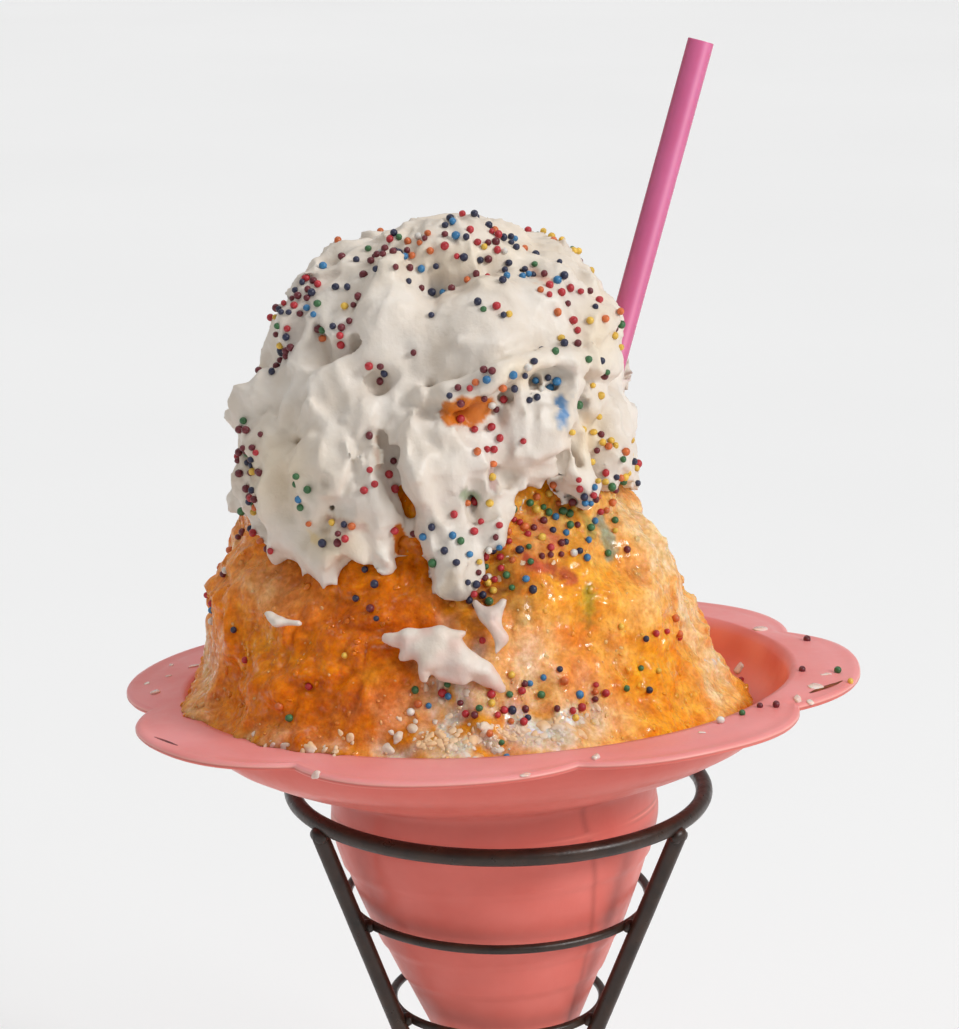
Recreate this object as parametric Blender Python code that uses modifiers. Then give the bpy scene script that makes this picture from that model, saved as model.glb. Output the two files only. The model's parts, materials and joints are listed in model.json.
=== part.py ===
"""Shaved ice dessert: a heap of syrup-soaked ice under whipped cream, in a
flower-rimmed plastic cup with a straw, held by a wire cone stand.

Units are metres and +Z is up. The stand rests on the ground at Z = 0. The cup
leans in its stand, so the cup and everything in it are modelled about the cup's
own axis, with the rim's plane at height 0, and are then carried by the empty
"cup_axis". Positive X is to the right and the front faces -Y.
"""
import math

import bmesh
import bpy
from mathutils import Matrix, Vector
from mathutils.geometry import interpolate_bezier

MM = 0.001
GAP = 0.3 * MM                    # clearance between touching pieces

# --- Stand ---------------------------------------------------------------
WIRE_RADIUS = 1.75 * MM           # legs, top ring and base ring
THIN_WIRE_RADIUS = 1.08 * MM      # middle, lower and waist rings
TOP_RING_HEIGHT = 130.0 * MM
TOP_RING_RADIUS = 42.0 * MM
MIDDLE_RING_DROP = 23.3 * MM      # below the top ring
LOWER_RING_DROP = 45.7 * MM
WAIST_RING_DROP = 88.0 * MM
BASE_RING_RADIUS = 46.0 * MM
WAIST_RADIUS = 8.5 * MM           # legs' centre lines at the narrowest place
LEG_TOP_RADIUS = 43.8 * MM        # legs' centre lines at the top ring's height
CONE_SLOPE = 0.411                # the legs' run inwards for each unit down
STRAIGHT_LEG_DROP = 72.0 * MM     # where the straight part of a leg ends
LEG_AZIMUTHS = (-145.0, -35.0, 90.0)   # degrees from +X
RING_SEGMENTS = 36
LEG_CURVE_POINTS = 8              # on each of a leg's two curved stretches

# --- Cup -----------------------------------------------------------------
RIM_CENTRE = Vector((-2.2 * MM, 2.0 * MM, 152.9 * MM))
LEAN_LEFT = math.radians(2.95)
LEAN_BACK = math.radians(2.85)
WALL = 0.9 * MM
OPENING_RADIUS = 61.7 * MM
NOTCH_RADIUS = 68.8 * MM
PETAL_RADIUS = 75.9 * MM
PETAL_DROP = 0.6 * MM             # the petals' edge below the rim's plane
PETALS = 7
PETAL_ROUNDNESS = 3.0
NOTCH_AZIMUTH = math.radians(-22.9)
PETAL_CROWDING = 0.12             # radians by which petals are drawn to the front
PETAL_STEPS = (-1.0, -0.88, -0.55, 0.0, 0.55, 0.88)   # columns across a petal
# Outer side of the cup below the rim, from the flat bottom to the opening.
CUP_PROFILE = [(radius * MM, height * MM) for radius, height in (
    (12.0, -82.0), (18.0, -69.0), (27.4, -47.5), (33.0, -31.0), (33.4, -21.5),
    (34.8, -19.4), (40.0, -17.8), (49.0, -14.5), (58.8, -9.2), (61.8, -0.8))]

# --- Ice heap ------------------------------------------------------------
# Half width of the heap against height above the rim, from the top down.
HEAP_PROFILE = [(half_width * MM, height * MM) for half_width, height in (
    (0.0, 75.5), (9.0, 74.5), (20.0, 70.0), (29.0, 62.0), (34.0, 54.0), (37.0, 45.5),
    (39.4, 37.5), (41.5, 33.5), (45.0, 27.5), (47.6, 23.0), (48.8, 17.0), (50.5, 7.0),
    (55.4, -3.5), (60.0, -13.0), (64.0, -20.0))]
# The heap's axis to the right of the cup's axis, against height.
HEAP_SHIFT = [(height * MM, shift * MM) for height, shift in (
    (-20.0, 0.0), (-3.5, -5.2), (7.0, -7.0), (60.0, -7.0), (76.0, -2.5))]
HEAP_DEPTH = [(height * MM, ratio) for height, ratio in (
    (-10.0, 1.10), (10.0, 1.07), (30.0, 1.0), (80.0, 1.0))]   # depth over width
LUMP_HEIGHT = 1.0 * MM
ICE_TO_WALL = 0.6 * MM            # clearance to the cup, whose facets differ
HEAP_COLUMNS = 42
HEAP_ROWS = [height * MM for height in (
    74.6, 71.5, 66.5, 60.0, 52.5, 45.0, 38.5, 33.0, 27.5, 22.0, 16.0, 10.0, 4.0)]

# --- Whipped cream -------------------------------------------------------
CREAM_CORE = Vector((-6.0 * MM, -1.0 * MM, 46.0 * MM))   # the dollops are seen from here
CREAM_SINK = 4.0 * MM             # how far it reaches into the ice before it is cut
CREAM_COAT = 3.0 * MM             # least thickness away from the edge
CREAM_EDGE_STEEPNESS = 5.0        # how soon the dollops swell above the edge
CREAM_COLUMNS = 42
CREAM_OUTER_ROWS = 14
CREAM_INNER_ROWS = 4
CREAM_EDGE_HEIGHT = 37.0 * MM     # mean height of the ragged lower edge
# Dollops: name, centre (x, y, height) and radius, in millimetres.
DOLLOPS = (
    ("crest", -1.6, -4.0, 79.5, 16.0),
    ("crest_left", -19.5, -5.8, 77.0, 14.0),
    ("crest_right", 12.5, -3.7, 72.5, 16.5),
    ("front_swoop", 3.8, -20.0, 68.0, 16.5),
    ("right_bulge", 19.5, -12.0, 71.0, 12.0),
    ("swirl_bulb", -18.4, -23.0, 65.0, 12.0),
    ("left_bulge", -27.3, -9.3, 68.2, 12.5),
    ("left_tip", -40.0, -8.9, 58.5, 8.5),
    ("left_lower", -33.5, -8.0, 48.0, 13.0),
    ("front_left", -25.3, -22.0, 50.0, 13.0),
    ("front_low", -8.3, -31.0, 49.0, 12.0),
    ("front_right", 10.0, -24.0, 54.0, 13.5),
    ("right_low", 20.5, -9.0, 49.0, 12.0),
    ("right_side", 19.0, 0.0, 61.0, 12.0),
    ("back_top", -5.0, 14.0, 68.0, 18.0),
    ("back_left", -22.9, 13.0, 57.0, 16.0),
    ("back_right", 11.0, 14.0, 54.0, 15.5),
    ("back_low", -7.3, 24.0, 49.0, 14.0))
# Drips of the lower edge: azimuth and half width in degrees, reach down in mm.
DRIPS = (
    (-90.0, 9.0, 9.5), (-128.0, 10.0, 9.0), (-108.0, 8.0, 7.0), (-150.0, 12.0, 3.0),
    (-70.0, 7.0, -4.0), (-30.0, 14.0, -6.0), (20.0, 16.0, 4.0), (60.0, 12.0, 8.0),
    (100.0, 14.0, 3.0), (135.0, 10.0, 9.0), (170.0, 12.0, 2.0))
# Loose pieces of cream on the ice: node name, azimuth in degrees, then height,
# half width, half height, thickness and fall to the right, in millimetres.
SMEARS = (
    ("cream_smear_front", -90.0, 17.0, 11.5, 3.6, 3.0, 5.5),
    ("cream_smear_drip", -79.0, 22.0, 2.0, 4.4, 1.8, 0.0),
    ("cream_dab_left", -128.0, 22.5, 4.2, 1.6, 1.5, 1.0))
SMEAR_SINK = 1.5 * MM

# --- Straw ---------------------------------------------------------------
STRAW_RADIUS = 2.65 * MM
STRAW_WALL = 0.35 * MM
STRAW_LENGTH = 190.0 * MM
STRAW_TOP = Vector((48.8 * MM, 9.7 * MM, 125.0 * MM))
STRAW_TILT_RIGHT = 0.324          # run to the right for each unit of height
STRAW_TILT_BACK = 0.068
STRAW_SIDES = 14


# --- Collections, materials and objects ----------------------------------
def clear_scene():
    for obj in list(bpy.data.objects):
        bpy.data.objects.remove(obj, do_unlink=True)


def new_collection(name):
    collection = bpy.data.collections.new(name)
    bpy.context.scene.collection.children.link(collection)
    return collection


def new_material(name, colour, roughness, metallic=0.0):
    material = bpy.data.materials.new(name)
    material.use_nodes = True
    shader = material.node_tree.nodes["Principled BSDF"]
    shader.inputs["Base Color"].default_value = (*colour, 1.0)
    shader.inputs["Roughness"].default_value = roughness
    shader.inputs["Metallic"].default_value = metallic
    material.diffuse_color = (*colour, 1.0)
    return material


def add_object(name, data, collection, parent, material=None):
    obj = bpy.data.objects.new(name, data)
    collection.objects.link(obj)
    obj.parent = parent
    if material:
        data.materials.append(material)
    return obj


def mesh_object(name, bm, collection, parent, material=None):
    mesh = bpy.data.meshes.new(name)
    bmesh.ops.recalc_face_normals(bm, faces=bm.faces)
    bm.to_mesh(mesh)
    bm.free()
    mesh.shade_smooth()
    return add_object(name, mesh, collection, parent, material)


def add_empty(name, collection, parent, matrix):
    empty = bpy.data.objects.new(name, None)
    collection.objects.link(empty)
    empty.parent = parent
    empty.matrix_local = matrix
    return empty


# --- Shared geometry -----------------------------------------------------
def blend_table(table, x):
    """Value at x of a table of (x, value) rows in rising x."""
    if x <= table[0][0]:
        return table[0][1]
    for (x0, y0), (x1, y1) in zip(table, table[1:]):
        if x <= x1:
            return y0 + (y1 - y0) * (x - x0) / (x1 - x0)
    return table[-1][1]


def inset_profile(profile, distance):
    """Profile moved inwards, to the left of its run upwards, with mitred corners."""
    points = [Vector(point) for point in profile]
    normals = []
    for start, end in zip(points, points[1:]):
        run = (end - start).normalized()
        normals.append(Vector((-run.y, run.x)))
    inset = [points[0] + normals[0] * distance]
    for before, after, point in zip(normals, normals[1:], points[1:]):
        inset.append(point + (before + after) * distance / (1.0 + before.dot(after)))
    inset.append(points[-1] + normals[-1] * distance)
    return [(max(point.x, 0.0), point.y) for point in inset]


def polar_rows(vertex, row_count):
    """Azimuth and row (0 at the top pole) of a vertex of a UV sphere."""
    polar = math.acos(max(-1.0, min(1.0, vertex.normalized().z)))
    return math.atan2(vertex.y, vertex.x), round(polar / math.pi * row_count)


def turn_profile(obj, steps):
    """Turns an object's closed profile, which runs down its outer side, about Z."""
    screw = obj.modifiers.new("turn", "SCREW")
    screw.axis = "Z"
    screw.angle = 2.0 * math.pi
    screw.steps = steps
    screw.render_steps = steps
    screw.use_merge_vertices = True
    screw.merge_threshold = 0.00001


def sphere_shape(name, columns, rows, place, collection, parent, material):
    """A UV sphere whose vertices are moved by place(azimuth, row)."""
    bm = bmesh.new()
    bmesh.ops.create_uvsphere(bm, u_segments=columns, v_segments=rows, radius=1.0)
    for vertex in bm.verts:
        vertex.co = place(*polar_rows(vertex.co, rows))
    bmesh.ops.triangulate(bm, faces=bm.faces)
    return mesh_object(name, bm, collection, parent, material)


# --- Stand ---------------------------------------------------------------
def add_ring(name, radius, height, wire_radius, sides, collection, parent, material):
    bpy.ops.mesh.primitive_torus_add(
        major_radius=radius, minor_radius=wire_radius, major_segments=RING_SEGMENTS,
        minor_segments=sides)
    ring = bpy.context.object
    ring.name = name
    ring.data.materials.append(material)
    ring.data.shade_smooth()
    for old in ring.users_collection:
        old.objects.unlink(ring)
    collection.objects.link(ring)
    ring.parent = parent
    ring.location = (0.0, 0.0, height)
    return ring


def add_base_ring(collection, parent, material):
    """The ring the stand rests on: an eight-sided wire with a flat side down."""
    corner = math.pi / 8.0
    height = WIRE_RADIUS * math.cos(corner)
    bm = bmesh.new()
    loop = []
    for step in range(8):
        angle = math.pi / 2.0 - corner - step * 2.0 * corner
        across = BASE_RING_RADIUS + WIRE_RADIUS * math.cos(angle)
        loop.append(bm.verts.new((across, 0.0, height + WIRE_RADIUS * math.sin(angle))))
    for start, end in zip(loop, loop[1:] + loop[:1]):
        bm.edges.new((start, end))
    mesh = bpy.data.meshes.new("stand_base_ring")
    bm.to_mesh(mesh)
    bm.free()
    ring = add_object("stand_base_ring", mesh, collection, parent, material)
    turn_profile(ring, RING_SEGMENTS)
    return height


def leg_points(base_height):
    """Radius and height along a leg's centre line, from the top ring down."""
    down = Vector((-CONE_SLOPE, -1.0)).normalized()
    start = Vector((LEG_TOP_RADIUS, TOP_RING_HEIGHT))
    ring = Vector((TOP_RING_RADIUS, TOP_RING_HEIGHT))
    top = start + down * ((ring - start).dot(down) + WIRE_RADIUS + GAP)
    knee = start + down * (STRAIGHT_LEG_DROP / -down.y)
    waist = Vector((WAIST_RADIUS, TOP_RING_HEIGHT - WAIST_RING_DROP))
    base = Vector((BASE_RING_RADIUS, base_height))
    inwards = Vector((-0.62, 0.78)).normalized()
    foot = base + inwards * (WIRE_RADIUS + GAP)
    above = Vector((0.0, 8.0 * MM))
    upper = interpolate_bezier(knee, knee + down * 8.0 * MM, waist + above, waist, LEG_CURVE_POINTS)
    lower = interpolate_bezier(waist, waist - above, foot + inwards * 17.0 * MM, foot,
                               LEG_CURVE_POINTS)
    return [top] + list(upper) + list(lower)[1:]


def add_leg(number, azimuth, points, collection, parent, material):
    name = f"stand_leg_{number}"
    curve = bpy.data.curves.new(name, "CURVE")
    curve.dimensions = "3D"
    curve.bevel_depth = WIRE_RADIUS
    curve.bevel_resolution = 2
    curve.use_fill_caps = True
    spline = curve.splines.new("POLY")
    spline.points.add(len(points) - 1)
    for point, (radius, height) in zip(spline.points, points):
        point.co = (radius, 0.0, height, 1.0)
    leg = add_object(name, curve, collection, parent, material)
    leg.rotation_euler = (0.0, 0.0, math.radians(azimuth))
    return leg


def build_stand(collection, parent):
    material = new_material("coated_wire", (0.030, 0.018, 0.012), 0.35, 0.4)
    rings = (
        ("stand_top_ring", TOP_RING_RADIUS, 0.0, WIRE_RADIUS, 8),
        ("stand_middle_ring", inner_ring_radius(MIDDLE_RING_DROP), MIDDLE_RING_DROP,
         THIN_WIRE_RADIUS, 6),
        ("stand_lower_ring", inner_ring_radius(LOWER_RING_DROP), LOWER_RING_DROP,
         THIN_WIRE_RADIUS, 6),
        ("stand_waist_ring", WAIST_RADIUS - ring_offset(), WAIST_RING_DROP,
         THIN_WIRE_RADIUS, 6))
    for name, radius, drop, wire_radius, sides in rings:
        add_ring(name, radius, TOP_RING_HEIGHT - drop, wire_radius, sides,
                 collection, parent, material)
    base_height = add_base_ring(collection, parent, material)
    points = leg_points(base_height)
    for number, azimuth in enumerate(LEG_AZIMUTHS, start=1):
        add_leg(number, azimuth, points, collection, parent, material)


def ring_offset():
    """From a leg's centre line to the centre line of a thin ring inside it."""
    return WIRE_RADIUS + THIN_WIRE_RADIUS + GAP


def inner_ring_radius(drop):
    """Radius of a thin ring that touches the inner sides of the straight legs."""
    return LEG_TOP_RADIUS - CONE_SLOPE * drop - ring_offset() * math.hypot(1.0, CONE_SLOPE)


# --- Cup -----------------------------------------------------------------
def petal_radius(across):
    """Radius of the rim's outline; across runs from -1 to 1 over one petal."""
    reach = 1.0 - abs(across) ** PETAL_ROUNDNESS
    return NOTCH_RADIUS + (PETAL_RADIUS - NOTCH_RADIUS) * reach


def cup_columns():
    """Azimuth and rim outline radius of each column of the cup's surface."""
    columns = []
    for petal in range(PETALS):
        for across in PETAL_STEPS:
            turn = (petal + (across + 1.0) / 2.0) / PETALS
            azimuth = NOTCH_AZIMUTH + turn * 2.0 * math.pi
            azimuth -= PETAL_CROWDING * math.sin(azimuth + math.pi / 2.0)
            columns.append((azimuth, petal_radius(across)))
    return columns


def cup_column_points(azimuth, outline):
    """Points of one column, from the bottom's edge up to the petal's edge."""
    points = list(CUP_PROFILE)
    for share, drop in ((0.25, 0.0), (0.93, 0.75), (1.0, 1.0)):
        points.append((OPENING_RADIUS + share * (outline - OPENING_RADIUS), -drop * PETAL_DROP))
    direction = Vector((math.cos(azimuth), math.sin(azimuth), 0.0))
    return [direction * radius + Vector((0.0, 0.0, height)) for radius, height in points]


def build_cup(collection, parent):
    """An open surface from the flat bottom to the seven petals, given its wall."""
    bm = bmesh.new()
    columns = []
    for azimuth, outline in cup_columns():
        columns.append([bm.verts.new(point) for point in cup_column_points(azimuth, outline)])
    centre = bm.verts.new((0.0, 0.0, CUP_PROFILE[0][1]))
    for left, right in zip(columns, columns[1:] + columns[:1]):
        bm.faces.new((centre, right[0], left[0]))
        for row in range(len(left) - 1):
            bm.faces.new((left[row], right[row], right[row + 1], left[row + 1]))
    material = new_material("pink_plastic", (0.68, 0.19, 0.16), 0.35)
    mesh = bpy.data.meshes.new("flower_cup")
    bm.to_mesh(mesh)
    bm.free()
    mesh.shade_smooth()
    cup = add_object("flower_cup", mesh, collection, parent, material)
    wall = cup.modifiers.new("wall", "SOLIDIFY")
    wall.thickness = WALL
    wall.offset = -1.0
    wall.use_even_offset = True
    return cup


# --- Ice -----------------------------------------------------------------
def ice_wall():
    """The cup's inner side, less the clearance, as radius and height rising."""
    return inset_profile([(0.0, CUP_PROFILE[0][1])] + CUP_PROFILE, WALL + ICE_TO_WALL)


def lump(azimuth, height):
    """Uneven relief of the heap."""
    along = height / MM
    waves = (
        0.9 * math.sin(3.0 * azimuth + 0.11 * along + 1.0)
        + 0.7 * math.sin(5.0 * azimuth - 0.23 * along + 2.0)
        + 0.6 * math.sin(9.0 * azimuth + 0.40 * along))
    fade = min(1.0, max(0.0, (height + 4.0 * MM) / (12.0 * MM)))
    return LUMP_HEIGHT * waves * fade


def heap_point(azimuth, height):
    """Point of the open heap's side at an azimuth about the heap's axis."""
    half_width = blend_table([(h, a) for a, h in reversed(HEAP_PROFILE)], height)
    depth = blend_table(HEAP_DEPTH, height)
    relief = 1.0 + lump(azimuth, height) / max(half_width, 25.0 * MM)
    shift = blend_table(HEAP_SHIFT, height)
    return Vector((
        shift + half_width * math.cos(azimuth) * relief,
        half_width * depth * math.sin(azimuth) * relief,
        height))


def ice_point(azimuth, height, wall):
    """The heap's side, kept inside the cup where it is below the rim."""
    point = heap_point(azimuth, height)
    if height > wall[-1][1]:
        return point
    limit = blend_table([(h, r) for r, h in wall[1:]], height)
    reach = math.hypot(point.x, point.y)
    if reach > limit:
        return Vector((point.x * limit / reach, point.y * limit / reach, height))
    return point


def straw_axis():
    return Vector((STRAW_TILT_RIGHT, STRAW_TILT_BACK, 1.0)).normalized()


def mark_cutter(obj):
    obj.hide_render = True
    obj.display_type = "WIRE"


def add_straw_cutter(cutters, parent):
    """A rod along the straw, wider and longer by the clearance."""
    bpy.ops.mesh.primitive_cylinder_add(
        vertices=STRAW_SIDES, radius=STRAW_RADIUS + GAP, depth=STRAW_LENGTH + 2.0 * GAP)
    cutter = bpy.context.object
    cutter.name = "straw_hole"
    for old in cutter.users_collection:
        old.objects.unlink(cutter)
    cutters.objects.link(cutter)
    cutter.parent = parent
    cutter.matrix_local = straw_matrix(STRAW_LENGTH / 2.0)
    mark_cutter(cutter)
    return cutter


def straw_matrix(below_top):
    """Places an object on the straw's axis, at a distance below its top."""
    turn = straw_axis().to_track_quat("Z", "Y").to_matrix().to_4x4()
    return Matrix.Translation(STRAW_TOP - straw_axis() * below_top) @ turn


def cut(obj, cutter):
    boolean = obj.modifiers.new(cutter.name, "BOOLEAN")
    boolean.operation = "DIFFERENCE"
    boolean.solver = "EXACT"
    boolean.object = cutter


def ice_shape(name, collection, parent, material=None):
    """The whole body of ice: the open heap above and what fills the cup below."""
    wall = ice_wall()
    heights = HEAP_ROWS + [height for radius, height in reversed(wall[1:])]

    def place(azimuth, row):
        if row == 0:
            top = HEAP_PROFILE[0][1]
            return Vector((blend_table(HEAP_SHIFT, top), 0.0, top))
        if row > len(heights):
            return Vector((0.0, 0.0, wall[0][1]))
        return ice_point(azimuth, heights[row - 1], wall)

    return sphere_shape(name, HEAP_COLUMNS, len(heights) + 1, place,
                        collection, parent, material)


def add_ice_cutter(cutters, parent):
    """The ice's space: its body grown by the clearance."""
    cutter = ice_shape("ice_space", cutters, parent)
    grow = cutter.modifiers.new("grow", "DISPLACE")
    grow.direction = "NORMAL"
    grow.mid_level = 0.0
    grow.strength = GAP
    mark_cutter(cutter)
    return cutter


def build_ice(collection, parent, straw_hole):
    material = new_material("syrup_ice", (0.80, 0.34, 0.05), 0.30)
    ice = ice_shape("shaved_ice", collection, parent, material)
    cut(ice, straw_hole)


# --- Whipped cream -------------------------------------------------------
def dollop_reach(direction):
    """How far the dollops reach from the cream's core along a direction."""
    reach = 0.0
    for name, x, y, height, radius in DOLLOPS:
        offset = Vector((x, y, height)) * MM - CREAM_CORE
        along = offset.dot(direction)
        half_chord_squared = (radius * MM) ** 2 - offset.length_squared + along ** 2
        if half_chord_squared > 0.0:
            reach = max(reach, along + math.sqrt(half_chord_squared))
    return reach


def cream_edge(azimuth):
    """Height of the ragged lower edge at an azimuth."""
    height = CREAM_EDGE_HEIGHT
    for centre, half_width, reach in DRIPS:
        away = math.degrees(azimuth) - centre
        away = (away + 180.0) % 360.0 - 180.0
        height -= reach * MM * math.exp(-(away / half_width) ** 2)
    return height


def heap_dome_point(azimuth, share):
    """Point of the heap under the cream: share 0 at its top, 1 at the cream's edge."""
    edge = cream_edge(azimuth)
    top = HEAP_PROFILE[0][1]
    if share == 0.0:
        return Vector((blend_table(HEAP_SHIFT, top), 0.0, top))
    height = edge + (top - edge) * (1.0 - share ** 1.6)
    return heap_point(azimuth, height)


def cream_point(azimuth, share, outside):
    """Point of the cream's outer side above a point of the heap, or below that point."""
    below = heap_dome_point(azimuth, share) - CREAM_CORE
    direction = below.normalized()
    if not outside:
        return CREAM_CORE + direction * (below.length - CREAM_SINK)
    coat = below.length + CREAM_COAT * (1.0 - 0.5 * share ** 4)
    swell = min(1.0, CREAM_EDGE_STEEPNESS * (1.0 - share))
    return CREAM_CORE + direction * (coat + swell * max(0.0, dollop_reach(direction) - coat))


def build_cream(collection, parent, ice_space, straw_hole):
    """A cap that reaches into the heap, less the space the ice takes."""
    rows = CREAM_OUTER_ROWS + CREAM_INNER_ROWS + 1
    material = new_material("whipped_cream", (0.82, 0.78, 0.72), 0.55)

    def place(azimuth, row):
        if row <= CREAM_OUTER_ROWS:
            return cream_point(azimuth, row / CREAM_OUTER_ROWS, True)
        return cream_point(azimuth, (rows - row) / CREAM_INNER_ROWS, False)

    cream = sphere_shape("whipped_cream", CREAM_COLUMNS, rows, place,
                         collection, parent, material)
    cut(cream, ice_space)
    cut(cream, straw_hole)


def build_smears(collection, parent, ice_space):
    """Loose pieces of cream that lie on the front of the heap."""
    material = bpy.data.materials["whipped_cream"]
    for name, azimuth, height, half_width, half_height, thickness, fall in SMEARS:
        bm = bmesh.new()
        bmesh.ops.create_uvsphere(bm, u_segments=12, v_segments=6, radius=1.0)
        for vertex in bm.verts:
            level = (height + half_height * vertex.co.y - fall * vertex.co.x) * MM
            middle = math.radians(azimuth)
            radius = (heap_point(middle, level) - Vector((0.0, 0.0, level))).length
            spot = heap_point(middle + half_width * MM * vertex.co.x / radius, level)
            outwards = Vector((spot.x - blend_table(HEAP_SHIFT, level), spot.y, 0.0)).normalized()
            away = thickness * MM * vertex.co.z
            vertex.co = spot + outwards * max(away, -SMEAR_SINK)
        cut(mesh_object(name, bm, collection, parent, material), ice_space)


# --- Straw ---------------------------------------------------------------
def build_straw(collection, parent):
    """A turned tube, open at both ends."""
    inner = STRAW_RADIUS - STRAW_WALL
    corners = (
        (inner, 0.0), (STRAW_RADIUS, 0.0), (STRAW_RADIUS, -STRAW_LENGTH), (inner, -STRAW_LENGTH))
    bm = bmesh.new()
    loop = [bm.verts.new((radius, 0.0, height)) for radius, height in corners]
    for start, end in zip(loop, loop[1:] + loop[:1]):
        bm.edges.new((start, end))
    mesh = bpy.data.meshes.new("straw")
    bm.to_mesh(mesh)
    bm.free()
    material = new_material("straw_plastic", (0.62, 0.10, 0.30), 0.30)
    straw = add_object("straw", mesh, collection, parent, material)
    straw.matrix_local = straw_matrix(0.0)
    turn_profile(straw, STRAW_SIDES)


# --- Whole dessert -------------------------------------------------------
def centre_on_origin(root, collection):
    """Moves the dessert so that its bounding box is centred over the origin."""
    bpy.context.view_layer.update()
    depsgraph = bpy.context.evaluated_depsgraph_get()
    corners = []
    for obj in collection.objects:
        if obj.type == "EMPTY":
            continue
        evaluated = obj.evaluated_get(depsgraph)
        mesh = evaluated.to_mesh()
        corners += [evaluated.matrix_world @ vertex.co for vertex in mesh.vertices]
        evaluated.to_mesh_clear()
    for axis in (0, 1):
        values = [corner[axis] for corner in corners]
        root.location[axis] = -(min(values) + max(values)) / 2.0


def main():
    clear_scene()
    parts = new_collection("shaved_ice_dessert")
    cutters = new_collection("cutters")
    root = add_empty("dessert", parts, None, Matrix.Identity(4))
    lean = Matrix.Rotation(-LEAN_BACK, 4, "X") @ Matrix.Rotation(-LEAN_LEFT, 4, "Y")
    cup_axis = add_empty("cup_axis", parts, root, Matrix.Translation(RIM_CENTRE) @ lean)
    build_stand(parts, root)
    build_cup(parts, cup_axis)
    straw_hole = add_straw_cutter(cutters, cup_axis)
    ice_space = add_ice_cutter(cutters, cup_axis)
    build_ice(parts, cup_axis, straw_hole)
    build_cream(parts, cup_axis, ice_space, straw_hole)
    build_smears(parts, cup_axis, ice_space)
    build_straw(parts, cup_axis)
    centre_on_origin(root, parts)


main()
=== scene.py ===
"""Looks of the shaved ice dessert: orange slush under whipped cream and sprinkles,
in a pink flower-rimmed cup with a straw, on a dark wire stand.

Shapes are worked out in millimetres in the cup's own frame: the rim's plane is at
height 0, the cup's axis is up, x is to the right and the front faces -y. The cup
leans in its stand, so to_world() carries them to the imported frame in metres.
"""
import json
import math

import bmesh
import bpy
import numpy as np
from mathutils import Matrix, Vector
from mathutils.bvhtree import BVHTree

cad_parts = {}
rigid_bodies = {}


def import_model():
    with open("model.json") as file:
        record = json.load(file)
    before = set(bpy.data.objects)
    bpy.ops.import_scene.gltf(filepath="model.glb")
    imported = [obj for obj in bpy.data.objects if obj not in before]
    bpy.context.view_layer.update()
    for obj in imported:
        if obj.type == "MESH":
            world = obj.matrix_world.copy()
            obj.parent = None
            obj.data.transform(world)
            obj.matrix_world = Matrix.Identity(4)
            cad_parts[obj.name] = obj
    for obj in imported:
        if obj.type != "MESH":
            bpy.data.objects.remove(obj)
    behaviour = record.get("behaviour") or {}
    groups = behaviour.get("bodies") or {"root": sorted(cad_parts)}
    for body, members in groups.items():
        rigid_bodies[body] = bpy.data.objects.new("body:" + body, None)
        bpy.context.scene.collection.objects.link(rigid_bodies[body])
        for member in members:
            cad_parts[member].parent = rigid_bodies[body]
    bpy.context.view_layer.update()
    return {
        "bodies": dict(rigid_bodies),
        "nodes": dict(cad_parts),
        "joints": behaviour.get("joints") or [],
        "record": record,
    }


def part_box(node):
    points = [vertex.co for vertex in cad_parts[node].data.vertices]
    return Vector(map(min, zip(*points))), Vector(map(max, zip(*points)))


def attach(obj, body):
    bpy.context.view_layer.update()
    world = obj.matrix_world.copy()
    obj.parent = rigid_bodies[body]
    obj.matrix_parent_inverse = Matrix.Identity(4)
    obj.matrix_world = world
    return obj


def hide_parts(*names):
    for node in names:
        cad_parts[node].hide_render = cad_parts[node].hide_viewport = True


MM = 0.001
SEED = 2718
UP = np.array((0.0, 0.0, 1.0))
FAR = 130.0  # past every surface, from inside the dessert
SCATTER = 0.6  # a random place's usual distance, in half widths

# --- The cup's place in the stand, as in the part ---
RING_TO_RIM = (-2.2, 2.0, 22.9)  # from the top ring's centre to the rim's centre
LEAN_LEFT = math.radians(2.95)
LEAN_BACK = math.radians(2.85)

# --- Camera and studio ---
CAMERA_ELEVATION = math.radians(14.32)
CAMERA_DISTANCE = 640.0
CAMERA_LENS = 111.95
SENSOR_WIDTH = 36.0
RING_TO_TARGET = (-3.83, 0.0, 57.23)
FLOOR_SIZE = 30.0  # metres
SKY_STRENGTH = 0.36
# Suns: name, direction towards it, spread in degrees and strength.
SUNS = (("key", (0.78, -0.42, 0.58), 18.0, 1.6), ("top", (-0.15, 0.25, 1.0), 60.0, 0.85))
STRIP_PLACE = (0.46, -0.50, 0.42)  # metres from the rim's centre
STRIP_SIZE = (0.05, 0.45)
STRIP_POWER = 0.8

# --- Cup ---
WALL = 0.9
PETALS = 7
OPENING_RADIUS = 61.8
NOTCH_RADIUS = 68.8
PETAL_RADIUS = 75.3
PETAL_ROUNDNESS = 2.6
PETAL_DROP = 0.6
NOTCH_AZIMUTH = math.radians(-22.9)
PETAL_CROWDING = 0.12
# Outer side of the cup below the rim: radius and height.
CUP_PROFILE = (
    (12.0, -82.0), (18.0, -69.0), (27.4, -47.5), (33.0, -31.0), (33.4, -21.5),
    (34.8, -19.4), (40.0, -17.8), (49.0, -14.5), (58.8, -9.2), (61.8, -0.8))
LEDGES = (-37.6, -54.1, -61.5)  # heights of the faint steps round the cone
LEDGE_STEP = 0.45
CUP_COLUMNS = 364
OUTER_STEP = 0.9  # between rows up the outer side
INNER_STEP = 1.2
FLANGE_SHARES = (0.06, 0.15, 0.3, 0.45, 0.6, 0.72, 0.82, 0.9, 0.95, 0.985)
BEAD_RADIUS = 0.65  # of the petals' rounded edge
BEAD_ANGLES = (-100.0, -60.0, -20.0, 20.0, 60.0, 100.0)
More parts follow.
